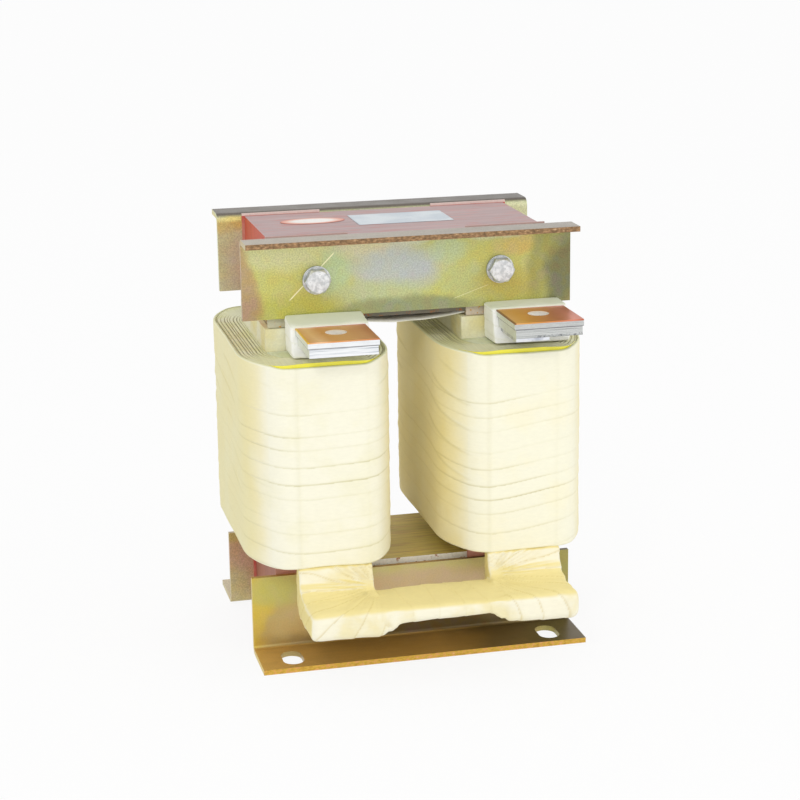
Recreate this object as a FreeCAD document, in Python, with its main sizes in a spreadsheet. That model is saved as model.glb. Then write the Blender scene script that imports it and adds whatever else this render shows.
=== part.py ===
import FreeCAD, Part
import math
import os
import Sketcher
from FreeCAD import Placement, Rotation, Vector

# A two coil direct current smoothing reactor. Millimetres, +Z up, X along the clamps, front at -Y.
# The origin is on the base plane, in the middle of the four foot slots.

SIZES = {
    # laminated core: two yokes and two legs around one window
    "leg_width": 45.0,
    "window_width": 68.0,
    "window_height": 145.0,
    "core_depth": 79.0,
    "yoke_height": 47.5,
    "core_inset": 1.5,
    "gap_spacer": 1.5,
    # bent plate clamps, one pair above and one pair below
    "clamp_length": 190.0,
    "clamp_plate": 3.0,
    "clamp_web": 46.0,
    "bend_radius": 2.0,
    "upper_flange_reach": 18.0,
    "lower_flange_reach": 34.0,
    "slot_spacing": 152.0,
    "slot_from_web": 19.0,
    "slot_width": 12.0,
    "slot_length": 20.0,
    # insulating pads between the core and the clamps
    "pad_thickness": 1.5,
    "pad_end_proud": 1.5,
    "pad_top_proud": 1.5,
    "pad_window_proud": 2.5,
    # M8 through bolts of the clamps
    "bolt_spacing": 106.0,
    "bolt_from_flange": 25.0,
    "bolt_diameter": 8.0,
    "bolt_hole": 9.0,
    "bolt_tail": 4.0,
    "head_flats": 13.0,
    "head_height": 5.3,
    "washer_diameter": 16.0,
    "washer_bore": 8.4,
    "washer_thickness": 1.6,
    "spring_washer_diameter": 14.2,
    "spring_washer_thickness": 2.0,
    "spring_washer_split": 2.2,
    "nut_height": 6.5,
    "sleeve_outside": 11.0,
    "sleeve_bore": 8.4,
    "sleeve_hole": 11.5,
    # coils: insulating former, filler blocks, foil winding and outer tape
    "former_wall": 3.0,
    "coil_width": 85.0,
    "coil_depth": 164.0,
    "coil_height": 116.4,
    "coil_lift": 13.3,
    "corner_across": 23.5,
    "corner_along": 42.0,
    "corner_radius": 15.0,
    "tape_thickness": 1.2,
    "side_build": 15.0,
    "inner_corner_across": 10.0,
    "inner_corner_along": 18.0,
    "inner_corner_radius": 6.5,
    "layer_pitch": 2.1,
    "layer_groove": 0.8,
    "layer_groove_depth": 1.6,
    "layer_run": 112.0,
    "edge_strip": 0.8,
    "edge_strip_height": 8.0,
    "edge_strip_proud": 1.1,
    "edge_strip_reach": 34.0,
    "edge_strip_taper": 22.0,
    "edge_strip_drop": 1.2,
    # leads: a start lead up to each terminal and a finish lead down to the jumper
    "lead_width": 38.0,
    "lead_thickness": 5.0,
    "lead_bend": 2.0,
    "start_lead_depth": 100.0,
    "finish_lead_depth": 104.0,
    "left_terminal_shift": 7.5,
    "right_terminal_shift": 9.5,
    "left_terminal_top": 195.0,
    "right_terminal_top": 198.0,
    "terminal_reach": 97.5,
    "terminal_width": 39.5,
    "terminal_hole": 12.0,
    "terminal_hole_inset": 21.0,
    "plate_thickness": 3.0,
    "copper_thickness": 0.8,
    "copper_to_lead": 1.4,
    "backing_strip_width": 19.0,
    "backing_strip_thickness": 1.8,
    "plate_leg_depth": 30.0,
    "lead_wrap": 2.2,
    "lead_wrap_left": 3.0,
    "lead_wrap_right": 2.2,
    "lead_wrap_over": 0.8,
    "lead_wrap_flare": 6.5,
    "lead_wrap_top": 199.2,
    # jumper between the finish leads
    "left_jumper_shift": 3.5,
    "right_jumper_shift": -0.5,
    "jumper_top": 45.2,
    "jumper_bar_thickness": 5.0,
    "jumper_bar_depth": 33.0,
    "jumper_bar_end": 0.5,
    "riser_wrap": 1.9,
    "jumper_wrap": 1.3,
    "jumper_joint_sag": 1.2,
    # clearances
    "fit": 0.3,
    "thread_play": 0.1,
}

SHEET = "Sizes"
HALF_TURN = 180.0
QUARTER_TURN = 90.0
HEX_SIDES = 6
HEX_FLATS_TO_CORNERS = 3.0 ** 0.5 / 2.0
HEAD_CHAMFER_RATIO = 0.95
OVERSHOOT = 5.0
VOLUME_TOLERANCE = 1e-6
SAME_PLACE = 1e-6
SIDES = (("left", -1), ("right", 1))


class Size:
    """A number together with the sheet formula that gives it."""

    def __init__(self, number, formula):
        self.number = number
        self.formula = formula

    @staticmethod
    def of(other):
        if isinstance(other, Size):
            return other
        return Size(float(other), repr(float(other)))

    def joined(self, other, sign, number):
        return Size(number, f"({self.formula} {sign} {Size.of(other).formula})")

    def __add__(self, other):
        return self.joined(other, "+", self.number + Size.of(other).number)

    def __sub__(self, other):
        return self.joined(other, "-", self.number - Size.of(other).number)

    def __mul__(self, other):
        return self.joined(other, "*", self.number * Size.of(other).number)

    def __truediv__(self, other):
        return self.joined(other, "/", self.number / Size.of(other).number)

    def __neg__(self):
        return Size.of(0) - self

    def __float__(self):
        return float(self.number)


class Sheet:
    """The driving sizes, one row each, with the name of the size as the alias."""

    def __init__(self, document, sizes):
        self.rows = document.addObject("Spreadsheet::Sheet", SHEET)
        for row, (alias, number) in enumerate(sizes.items(), start=1):
            self.rows.set(f"A{row}", alias)
            self.rows.set(f"B{row}", str(number))
            self.rows.setAlias(f"B{row}", alias)
        document.recompute()

    def __getattr__(self, alias):
        return Size(float(self.rows.get(alias)), f"{SHEET}.{alias}")


doc = FreeCAD.newDocument("dc_reactor")
size = Sheet(doc, SIZES)
nodes = []

# Places worked out from the driving sizes
core_width = size.leg_width * 2 + size.window_width
core_half_depth = size.core_depth / 2
leg_centre = (size.window_width + size.leg_width) / 2
lower_yoke_top = size.core_inset + size.yoke_height
upper_yoke_base = lower_yoke_top + size.window_height
core_top = upper_yoke_base + size.yoke_height
overall_height = core_top + size.core_inset
web_inner = core_half_depth + size.pad_thickness
web_outer = web_inner + size.clamp_plate
upper_bolt_height = overall_height - size.bolt_from_flange
coil_base = lower_yoke_top + size.coil_lift
coil_top = coil_base + size.coil_height
former_half_width = size.leg_width / 2 + size.fit + size.former_wall
former_half_depth = core_half_depth + size.fit + size.former_wall
winding_half_width = size.coil_width / 2 - size.tape_thickness - size.fit
winding_half_depth = size.coil_depth / 2 - size.tape_thickness - size.fit
bore_half_width = former_half_width + size.fit
start_lead_front = former_half_depth + size.fit + size.side_build
start_lead_back = start_lead_front - size.lead_thickness
plate_leg_back = start_lead_back - size.plate_thickness
lead_wrap_front = start_lead_front + size.lead_wrap
lead_wrap_foot = lead_wrap_front + size.lead_wrap_flare
bore_half_depth = start_lead_front + size.fit
winding_base = coil_base + size.fit
winding_top = coil_top - size.fit
finish_lead_front = winding_half_depth
finish_lead_back = finish_lead_front - size.lead_thickness
jumper_back = finish_lead_front + size.lead_bend + size.fit
jumper_front = jumper_back + size.jumper_bar_depth
jumper_base = size.jumper_top - size.jumper_bar_thickness


def bind(item, path, amount):
    """Set one property of an object and tie it to the sheet."""
    amount = Size.of(amount)
    if "." not in path:
        setattr(item, path, amount.number)
    item.setExpression(path, amount.formula)


def place(item, x=0.0, y=0.0, z=0.0, axis=None, angle=0.0):
    """Put an object at a place that the sheet gives, turned about one axis."""
    turn = Rotation(axis, angle) if axis else Rotation()
    corner = [Size.of(x), Size.of(y), Size.of(z)]
    item.Placement = Placement(Vector(*[float(value) for value in corner]), turn)
    for name, value in zip("xyz", corner):
        item.setExpression(f".Placement.Base.{name}", value.formula)
    return item


def keep(item, label):
    """Name a finished sub-part, which names its file too."""
    item.Label = label
    nodes.append(item)
    return item


def box(name, low, high):
    item = doc.addObject("Part::Box", name)
    for path, start, end in zip(("Length", "Width", "Height"), low, high):
        bind(item, path, Size.of(end) - start)
    return place(item, *low)


def cylinder(name, radius, base, height, x=0.0, z=0.0):
    """A round bar along the depth: base and height are measured towards the front."""
    item = doc.addObject("Part::Cylinder", name)
    bind(item, "Radius", radius)
    bind(item, "Height", height)
    return place(item, x, -Size.of(base), z, Vector(1, 0, 0), QUARTER_TURN)


def upright(name, radius, x, y, z, height):
    item = doc.addObject("Part::Cylinder", name)
    bind(item, "Radius", radius)
    bind(item, "Height", height)
    return place(item, x, y, z)


def cut(name, base, tools):
    item = doc.addObject("Part::Cut", name)
    item.Base = base
    item.Tool = fuse(f"{name}_tools", tools)
    item.Refine = True
    return item


def common(name, base, tool):
    item = doc.addObject("Part::Common", name)
    item.Base = base
    item.Tool = tool
    return item


def fuse(name, shapes):
    if len(shapes) == 1:
        return shapes[0]
    item = doc.addObject("Part::MultiFuse", name)
    item.Shapes = shapes
    return item


def group(label, shapes):
    """Alike solids that share one node."""
    item = doc.addObject("Part::Compound", label)
    item.Links = shapes
    return keep(item, label)


def plane(body, role):
    return [item for item in body.Origin.OriginFeatures if item.Role == role][0]


def sketch_on(body, role, name):
    sketch = body.newObject("Sketcher::SketchObject", name)
    sketch.AttachmentSupport = [(plane(body, role), "")]
    sketch.MapMode = "FlatFace"
    return sketch


def dimension(sketch, kind, first, second, amount, name):
    """A driving distance between two sketch points, tied to the sheet."""
    amount = Size.of(amount)
    if amount.number < 0:
        first, second, amount = second, first, -amount
    index = sketch.addConstraint(Sketcher.Constraint(kind, *first, *second, amount.number))
    sketch.renameConstraint(index, name)
    sketch.setExpression(f"Constraints.{name}", amount.formula)


def curve_size(sketch, kind, edge, amount, name):
    """A driving radius or diameter of a sketch curve, tied to the sheet."""
    amount = Size.of(amount)
    index = sketch.addConstraint(Sketcher.Constraint(kind, edge, amount.number))
    sketch.renameConstraint(index, name)
    sketch.setExpression(f"Constraints.{name}", amount.formula)


ORIGIN_POINT = (-1, 1)
START, END, CENTRE = range(1, 4)
SLOT_EDGES = 4


def bent_profile(sketch, reach, rise, thickness):
    """The section of a plate bent to an L: its foot runs to -reach and its web stands on zero."""
    flat, tall, thick = float(reach), float(rise), float(thickness)
    outline = [(-flat, 0), (thick, 0), (thick, tall), (0, tall), (0, thick), (-flat, thick)]
    points = [Vector(across, up, 0) for across, up in outline]
    for start, end in zip(points, points[1:] + points[:1]):
        sketch.addGeometry(Part.LineSegment(start, end), False)
    count = len(points)
    for line in range(count):
        sketch.addConstraint(Sketcher.Constraint("Coincident", line, END, (line + 1) % count, START))
        sketch.addConstraint(Sketcher.Constraint("Vertical" if line % 2 else "Horizontal", line))
    dimension(sketch, "DistanceX", (0, START), ORIGIN_POINT, reach, "reach")
    dimension(sketch, "DistanceX", ORIGIN_POINT, (0, END), thickness, "thickness")
    dimension(sketch, "DistanceY", ORIGIN_POINT, (1, END), rise, "rise")
    dimension(sketch, "DistanceY", ORIGIN_POINT, (5, START), thickness, "foot_thickness")
    sketch.addConstraint(Sketcher.Constraint("PointOnObject", 0, START, -1))
    sketch.addConstraint(Sketcher.Constraint("PointOnObject", 2, END, -2))


def corner_edges(shape, across, up):
    """The names of the straight edges along X that pass one point of the section."""
    found = []
    for number, edge in enumerate(shape.Edges, start=1):
        ends = [vertex.Point for vertex in edge.Vertexes]
        near = [abs(point.y - across) < SAME_PLACE and abs(point.z - up) < SAME_PLACE for point in ends]
        if len(ends) == 2 and all(near):
            found.append(f"Edge{number}")
    return found


def bent_bar(name, reach, rise, thickness, width, bend):
    """A bar or plate folded once, with a true inner and outer bend."""
    body = doc.addObject("PartDesign::Body", name)
    sketch = sketch_on(body, "YZ_Plane", f"{name}_section")
    bent_profile(sketch, reach, rise, thickness)
    pad = body.newObject("PartDesign::Pad", f"{name}_pad")
    pad.Profile = sketch
    pad.Midplane = True
    bind(pad, "Length", width)
    doc.recompute()
    thick = float(thickness)
    inner = body.newObject("PartDesign::Fillet", f"{name}_inner_bend")
    inner.Base = (pad, corner_edges(pad.Shape, 0.0, thick))
    bind(inner, "Radius", bend)
    doc.recompute()
    outer = body.newObject("PartDesign::Fillet", f"{name}_outer_bend")
    outer.Base = (inner, corner_edges(inner.Shape, thick, 0.0))
    bind(outer, "Radius", Size.of(bend) + thickness)
    doc.recompute()
    return body


def polygon_bar(name, role, corners, length):
    """A bar whose section is drawn on one plane, corner by corner, and runs equally to both sides."""
    body = doc.addObject("PartDesign::Body", name)
    sketch = sketch_on(body, role, f"{name}_section")
    points = [Vector(float(across), float(up), 0) for across, up in corners]
    count = len(points)
    for start, end in zip(points, points[1:] + points[:1]):
        sketch.addGeometry(Part.LineSegment(start, end), False)
    for line in range(count):
        sketch.addConstraint(Sketcher.Constraint("Coincident", line, END, (line + 1) % count, START))
    for line, (across, up) in enumerate(corners):
        dimension(sketch, "DistanceX", ORIGIN_POINT, (line, START), across, f"across{line}")
        dimension(sketch, "DistanceY", ORIGIN_POINT, (line, START), up, f"up{line}")
    pad = body.newObject("PartDesign::Pad", f"{name}_pad")
    pad.Profile = sketch
    pad.Midplane = True
    bind(pad, "Length", length)
    return body


def round_holes(body, name, spacing, height, diameter):
    """A pair of round holes through the web, at one height above the foot."""
    sketch = sketch_on(body, "XZ_Plane", f"{name}_circles")
    radius = float(diameter) / 2
    for index, side in enumerate((-1, 1)):
        centre = Vector(side * float(spacing) / 2, float(height), 0)
        sketch.addGeometry(Part.Circle(centre, Vector(0, 0, 1), radius), False)
        dimension(sketch, "DistanceX", ORIGIN_POINT, (index, CENTRE), spacing / 2 * side, f"place{index}")
        dimension(sketch, "DistanceY", ORIGIN_POINT, (index, CENTRE), height, f"height{index}")
        curve_size(sketch, "Diameter", index, diameter, f"bore{index}")
    return through(body, name, sketch)


def foot_slots(body, name, spacing, inset, width, length):
    """A pair of slots through the foot, long across the clamp."""
    sketch = sketch_on(body, "XY_Plane", f"{name}_outline")
    radius, straight = float(width) / 2, float(length - width) / 2
    for index, side in enumerate((-1, 1)):
        first = SLOT_EDGES * index
        middle = Vector(side * float(spacing) / 2, -float(inset), 0)
        near, far = middle + Vector(0, straight, 0), middle - Vector(0, straight, 0)
        across = Vector(radius, 0, 0)
        up = Vector(0, radius, 0)
        sketch.addGeometry([
            Part.Arc(near + across, near + up, near - across),
            Part.LineSegment(near - across, far - across),
            Part.Arc(far - across, far - up, far + across),
            Part.LineSegment(far + across, near + across),
        ], False)
        for edge in range(SLOT_EDGES):
            after = first + (edge + 1) % SLOT_EDGES
            sketch.addConstraint(Sketcher.Constraint("Tangent", first + edge, END, after, START))
        sketch.addConstraint(Sketcher.Constraint("Vertical", first + 1))
        dimension(sketch, "DistanceX", ORIGIN_POINT, (first, CENTRE), spacing / 2 * side, f"place{index}")
        run = length - width
        dimension(sketch, "DistanceY", (first, CENTRE), ORIGIN_POINT, inset - run / 2, f"near{index}")
        dimension(sketch, "DistanceY", (first + 2, CENTRE), (first, CENTRE), run, f"run{index}")
        curve_size(sketch, "Radius", first, width / 2, f"end{index}")
    return through(body, name, sketch)


def through(body, name, sketch):
    doc.recompute()
    before = body.Shape.Volume
    pocket = body.newObject("PartDesign::Pocket", name)
    pocket.Profile = sketch
    pocket.Type = "ThroughAll"
    pocket.Midplane = True
    doc.recompute()
    if not body.Shape.Volume < before - VOLUME_TOLERANCE:
        raise ValueError(f"{name} cuts nothing")
    return pocket


def mirrored_pair(low, high):
    """The same box on both sides of the middle plane of the width."""
    (x0, y0, z0), (x1, y1, z1) = low, high
    return [((x0, y0, z0), (x1, y1, z1)), ((-Size.of(x1), y0, z0), (-Size.of(x0), y1, z1))]


def bolt_bores(name, heights, diameter):
    """Round tools along the depth at every clamp bolt of the given heights."""
    reach = web_outer + OVERSHOOT
    tools = []
    for row, height in enumerate(heights):
        for word, side in SIDES:
            x = size.bolt_spacing / 2 * side
            tools.append(cylinder(f"{name}{row}_{word}", Size.of(diameter) / 2, -reach, reach * 2, x, height))
    return tools


# Laminated core

def yoke(label, base, bolt_height):
    half = core_width / 2
    top = base + size.yoke_height
    block = box(f"{label}_stack", (-half, -core_half_depth, base), (half, core_half_depth, top))
    bores = bolt_bores(f"{label}_bore", [bolt_height], size.sleeve_hole)
    keep(cut(f"{label}_drilled", block, bores), label)


yoke("lower_yoke", size.core_inset, size.bolt_from_flange)
yoke("upper_yoke", upper_yoke_base, upper_bolt_height)

leg_base = lower_yoke_top + size.gap_spacer
leg_top = upper_yoke_base - size.gap_spacer
leg_inner = size.window_width / 2
leg_outer = leg_inner + size.leg_width
right_side = ((leg_inner, -core_half_depth), (leg_outer, core_half_depth))


def leg_slices(name, base, top):
    """One block in the column of each leg."""
    (x0, y0), (x1, y1) = right_side
    pair = mirrored_pair((x0, y0, base), (x1, y1, top))
    return [box(f"{name}_{side}", low, high) for side, (low, high) in zip(("right", "left"), pair)]


right_leg, left_leg = leg_slices("leg", leg_base, leg_top)
keep(left_leg, "left_leg")
keep(right_leg, "right_leg")
group("lower_gap_spacers", leg_slices("lower_gap", lower_yoke_top, leg_base))
group("upper_gap_spacers", leg_slices("upper_gap", leg_top, upper_yoke_base))

# Clamps and their pads

# bolt height, then the base and the top of the pads
LEVELS = {
    "upper": (upper_bolt_height,
              upper_yoke_base - size.pad_window_proud,
              core_top + size.pad_top_proud),
    "lower": (size.bolt_from_flange,
              size.core_inset - size.pad_top_proud,
              lower_yoke_top + size.pad_window_proud),
}


def clamp(label, reach, axis, side, height, slots):
    body = bent_bar(label, reach, size.clamp_web, size.clamp_plate, size.clamp_length, size.bend_radius)
    round_holes(body, f"{label}_bolt_holes", size.bolt_spacing, size.bolt_from_flange, size.bolt_hole)
    if slots:
        foot_slots(body, f"{label}_slots", size.slot_spacing, size.slot_from_web,
                   size.slot_width, size.slot_length)
    angle = HALF_TURN if axis else 0.0
    place(body, 0.0, web_outer * side, height, axis, angle)
    keep(body, label)


clamp("lower_front_clamp", size.lower_flange_reach, None, -1, 0.0, True)
clamp("lower_rear_clamp", size.lower_flange_reach, Vector(0, 0, 1), 1, 0.0, True)
clamp("upper_front_clamp", size.upper_flange_reach, Vector(0, 1, 0), -1, overall_height, False)
clamp("upper_rear_clamp", size.upper_flange_reach, Vector(1, 0, 0), 1, overall_height, False)


def pads(level, face, side):
    """Two insulating pads on one face of a yoke, each as wide as a leg."""
    bolt_height, base, top = LEVELS[level]
    depths = sorted((core_half_depth * side, web_inner * side), key=float)
    low = (leg_inner, depths[0], base)
    high = (leg_outer + size.pad_end_proud, depths[1], top)
    name = f"{level}_{face}_pads"
    blocks = [box(f"{name}{index}", *corners) for index, corners in enumerate(mirrored_pair(low, high))]
    drilled = []
    for index, block in enumerate(blocks):
        bores = bolt_bores(f"{name}_bore{index}", [bolt_height], size.sleeve_hole)
        drilled.append(cut(f"{name}_drilled{index}", block, bores))
    group(name, drilled)


for level_name in LEVELS:
    pads(level_name, "front", -1)
    pads(level_name, "rear", 1)

# Clamp hardware, each stack along the depth

bolt_radius = size.bolt_diameter / 2
front_seat = web_outer + size.washer_thickness
spring_seat = front_seat + size.spring_washer_thickness
nut_end = spring_seat + size.nut_height
bolt_end = nut_end + size.bolt_tail


def hex_bar(name, base, height, x, z):
    """A hexagonal bar along the depth whose front corners are turned off."""
    prism = doc.addObject("Part::Prism", f"{name}_hex")
    prism.Polygon = HEX_SIDES
    corner_radius = size.head_flats / (2 * HEX_FLATS_TO_CORNERS)
    bind(prism, "Circumradius", corner_radius)
    bind(prism, "Height", height)
    place(prism, x, -Size.of(base), z, Vector(1, 0, 0), QUARTER_TURN)
    cone = doc.addObject("Part::Cone", f"{name}_turned")
    end_radius = size.head_flats / 2 * HEAD_CHAMFER_RATIO
    slope = corner_radius - end_radius
    bind(cone, "Radius2", end_radius)
    bind(cone, "Radius1", corner_radius + height - slope / 2)
    bind(cone, "Height", height)
    place(cone, x, -Size.of(base), z, Vector(1, 0, 0), QUARTER_TURN)
    return common(name, prism, cone)


def clamp_bolt(name, x, z):
    head = hex_bar(f"{name}_head", front_seat, size.head_height, x, z)
    shank = cylinder(f"{name}_shank", bolt_radius, -bolt_end, bolt_end + front_seat + size.fit, x, z)
    return fuse(name, [head, shank])


def ring(name, outside, bore, base, height, x, z):
    outer = cylinder(f"{name}_outer", Size.of(outside) / 2, base, height, x, z)
    hole = cylinder(f"{name}_bore", Size.of(bore) / 2, Size.of(base) - OVERSHOOT,
                    Size.of(height) + 2 * OVERSHOOT, x, z)
    return outer, hole


def washer(name, outside, bore, base, height, x, z):
    outer, hole = ring(name, outside, bore, base, height, x, z)
    return cut(name, outer, [hole])


def spring_washer(name, x, z):
    outer, hole = ring(name, size.spring_washer_diameter, size.washer_bore, -spring_seat,
                       size.spring_washer_thickness, x, z)
    half = size.spring_washer_split / 2
    split = box(f"{name}_split", (Size.of(x) - half, front_seat - OVERSHOOT, z),
                (Size.of(x) + half, spring_seat + OVERSHOOT, Size.of(z) + size.spring_washer_diameter))
    return cut(name, outer, [hole, split])


def nut(name, x, z):
    body = hex_bar(f"{name}_body", -nut_end, size.nut_height, x, z)
    hole = cylinder(f"{name}_hole", bolt_radius + size.thread_play, -nut_end - OVERSHOOT,
                    size.nut_height + 2 * OVERSHOOT, x, z)
    return cut(name, body, [hole])


def at_bolts(levels):
    """Every clamp bolt place of the named levels, with a short name for it."""
    for level in levels:
        for word, side in SIDES:
            yield f"{level}_{word}", size.bolt_spacing / 2 * side, LEVELS[level][0]


for level_name in LEVELS:
    group(f"{level_name}_clamp_bolts", [
        clamp_bolt(f"bolt_{word}", x, z) for word, x, z in at_bolts([level_name])])

group("front_washers", [
    washer(f"front_washer_{word}", size.washer_diameter, size.washer_bore, web_outer,
           size.washer_thickness, x, z)
    for word, x, z in at_bolts(LEVELS)])
group("rear_washers", [
    washer(f"rear_washer_{word}", size.washer_diameter, size.washer_bore, -front_seat,
           size.washer_thickness, x, z)
    for word, x, z in at_bolts(LEVELS)])
group("spring_washers", [
    spring_washer(f"spring_washer_{word}", x, z) for word, x, z in at_bolts(LEVELS)])
group("clamp_nuts", [nut(f"nut_{word}", x, z) for word, x, z in at_bolts(LEVELS)])
group("bolt_sleeves", [
    washer(f"sleeve_{word}", size.sleeve_outside, size.sleeve_bore, -web_inner, web_inner * 2, x, z)
    for word, x, z in at_bolts(LEVELS)])

# Coils

# half width, half depth, then where each corner starts across and along, and its tight radius
COIL_OUTLINE = (size.coil_width / 2, size.coil_depth / 2,
                size.corner_across, size.corner_along, size.corner_radius)
BORE_OUTLINE = (bore_half_width, bore_half_depth,
                size.inner_corner_across, size.inner_corner_along, size.inner_corner_radius)
CORNERS = ((1, 1), (-1, 1), (-1, -1), (1, -1))
UPRIGHT = Vector(0, 0, 1)
EDGES_PER_CORNER = 3


def outline_chain(outline):
    """The edges of a coil's outline, from the right side round: a straight side, then two arcs."""
    wide, deep, across, along, tight = [float(value) for value in outline]
    broad = (across ** 2 + (along - tight) ** 2 - tight ** 2) / (2 * (across - tight))
    turn = math.atan2(along - tight, broad - across)
    quarter = math.pi / 2
    run_x, run_y = wide - across, deep - along
    sides = [((wide, -run_y), (wide, run_y)), ((run_x, deep), (-run_x, deep)),
             ((-wide, run_y), (-wide, -run_y)), ((-run_x, -deep), (run_x, -deep))]
    edges = []
    for corner, ((side_x, side_y), (start, end)) in enumerate(zip(CORNERS, sides)):
        edges.append(Part.LineSegment(Vector(*start, 0), Vector(*end, 0)))
        arcs = [(Vector(side_x * (wide - broad), side_y * run_y, 0), broad, turn),
                (Vector(side_x * run_x, side_y * (deep - tight), 0), tight, quarter - turn)]
        angle = corner * quarter
        for centre, radius, sweep in arcs[::side_x * side_y]:
            edges.append(Part.ArcOfCircle(Part.Circle(centre, UPRIGHT, radius), angle, angle + sweep))
            angle += sweep
    return edges


def outline_sketch(name, outline, x, height):
    """A coil's outline from above: each corner is a wide arc that runs into a tight one."""
    wide, deep, across, along, tight = outline
    sketch = doc.addObject("Sketcher::SketchObject", name)
    edges = outline_chain(outline)
    sketch.addGeometry(edges, False)
    for edge in range(len(edges)):
        sketch.addConstraint(Sketcher.Constraint("Tangent", edge, END, (edge + 1) % len(edges), START))
    broad_arcs, tight_arcs = [], []
    for corner, (side_x, side_y) in enumerate(CORNERS):
        line = corner * EDGES_PER_CORNER
        broad_arc, tight_arc = (line + 1, line + 2)[::side_x * side_y]
        broad_arcs.append(broad_arc)
        tight_arcs.append(tight_arc)
        dimension(sketch, "DistanceX", ORIGIN_POINT, (tight_arc, CENTRE), (wide - across) * side_x,
                  f"tight_centre{corner}")
    for arcs in (broad_arcs, tight_arcs):
        for other in arcs[1:]:
            sketch.addConstraint(Sketcher.Constraint("Equal", arcs[0], other))
    for corner, (axis, reach) in enumerate((("X", wide), ("Y", deep), ("X", -wide), ("Y", -deep))):
        line = corner * EDGES_PER_CORNER
        sketch.addConstraint(Sketcher.Constraint("Vertical" if axis == "X" else "Horizontal", line))
        dimension(sketch, f"Distance{axis}", ORIGIN_POINT, (line, START), reach, f"side{corner}")
    dimension(sketch, "DistanceY", ORIGIN_POINT, (broad_arcs[0], CENTRE), deep - along, "broad_centre")
    curve_size(sketch, "Radius", tight_arcs[0], tight, "tight_radius")
    return place(sketch, x, 0.0, height)


def drawn_in(outline, inset):
    """The outline that runs parallel to another, inside it."""
    return tuple(value - inset for value in outline)


def column(name, outline, x, base, top):
    """An upright solid of a coil's outline."""
    item = doc.addObject("Part::Extrusion", name)
    item.Base = outline_sketch(f"{name}_outline", outline, x, base)
    item.DirMode = "Custom"
    item.Dir = UPRIGHT
    item.Solid = True
    bind(item, "LengthFwd", Size.of(top) - base)
    return item


def layer_grooves(word, x):
    """Narrow valleys between the wound layers, on top of both straight sides."""
    half_run, half = size.layer_run / 2, size.layer_groove / 2
    count = int(float(winding_half_width - bore_half_width) / float(size.layer_pitch))
    tools = []
    for side_word, side in SIDES:
        for index in range(1, count):
            middle = x + (winding_half_width - size.layer_pitch * index) * side
            tools.append(box(f"{word}_groove_{side_word}{index}",
                             (middle - half, -half_run, winding_top - size.layer_groove_depth),
                             (middle + half, half_run, winding_top + OVERSHOOT)))
    return tools


def lead_slot(name, centre, back, front, base, top, width=size.lead_width):
    """The room for a lead in the coil, from its back face to its front face."""
    half = width / 2 + size.fit
    return box(name, (centre - half, -Size.of(front), base), (centre + half, -Size.of(back), top))


def former(word, x):
    """The rigid tube round the leg."""
    base = lower_yoke_top + size.pad_window_proud + size.fit
    top = upper_yoke_base - size.pad_window_proud - size.fit
    hole_x, hole_y = size.leg_width / 2 + size.fit, core_half_depth + size.fit
    name = f"{word}_former"
    tube = box(f"{name}_tube", (x - former_half_width, -former_half_depth, base),
               (x + former_half_width, former_half_depth, top))
    hole = box(f"{name}_hole", (x - hole_x, -hole_y, base - OVERSHOOT), (x + hole_x, hole_y, top + OVERSHOOT))
    keep(cut(name, tube, [hole]), f"{word}_coil_former")


def start_lead_slots(name, centre):
    """The room for the start lead and the terminal plate's leg, down from the coil's top."""
    fit = size.fit
    return [
        lead_slot(f"{name}_lead_slot", centre, start_lead_back - fit, start_lead_front + fit,
                  winding_top - size.start_lead_depth - fit, winding_top + OVERSHOOT),
        lead_slot(f"{name}_plate_slot", centre, plate_leg_back - fit, start_lead_back + fit,
                  winding_top - size.plate_leg_depth - fit, winding_top + OVERSHOOT, size.terminal_width)]


strip_inset = size.tape_thickness + size.fit
strip_base = winding_top - size.edge_strip_height
finish_lead_top = winding_base + size.finish_lead_depth


def edge_strip_space(word, x):
    """The step in the winding's front edge that the edging film lies in."""
    name, reach, fit = f"{word}_strip_space", size.edge_strip_reach, size.fit
    base, top = strip_base - fit, winding_top + OVERSHOOT
    whole = column(f"{name}_whole", COIL_OUTLINE, x, base, top)
    inset = strip_inset + size.edge_strip + fit
    kept = column(f"{name}_kept", drawn_in(COIL_OUTLINE, inset), x, base - OVERSHOOT, top + OVERSHOOT)
    zone = box(f"{name}_zone", (x - reach - fit, -size.coil_depth, base),
               (x + reach + fit, -bore_half_depth, top))
    return common(name, cut(f"{name}_ring", whole, [kept]), zone)


def winding(word, x, terminal_centre, jumper_centre):
    """A foil roll with its layer edges showing, cut for its leads and its edging film."""
    fit, name = size.fit, f"{word}_roll"
    roll = column(name, drawn_in(COIL_OUTLINE, strip_inset), x, winding_base, winding_top)
    hollow = column(f"{name}_hollow", BORE_OUTLINE, x, winding_base - OVERSHOOT, winding_top + OVERSHOOT)
    finish_slot = lead_slot(f"{name}_finish_slot", jumper_centre, finish_lead_back - fit,
                            finish_lead_front + OVERSHOOT, winding_base - OVERSHOOT, finish_lead_top + fit)
    tools = [hollow, finish_slot, edge_strip_space(word, x)]
    tools += layer_grooves(word, x) + start_lead_slots(name, terminal_centre)
    keep(cut(f"{name}_cut", roll, tools), f"{word}_winding")


def coil_fillers(word, x, terminal_centre):
    """Blocks that round off both ends of the winding's opening."""
    name = f"{word}_filler"
    blocks = column(name, drawn_in(BORE_OUTLINE, size.fit), x, winding_base, winding_top)
    half_depth = former_half_depth + size.fit
    middle = box(f"{name}_middle", (x - size.coil_width, -half_depth, winding_base - OVERSHOOT),
                 (x + size.coil_width, half_depth, winding_top + OVERSHOOT))
    tools = [middle] + start_lead_slots(name, terminal_centre)
    keep(cut(f"{name}_cut", blocks, tools), f"{word}_coil_fillers")


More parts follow.
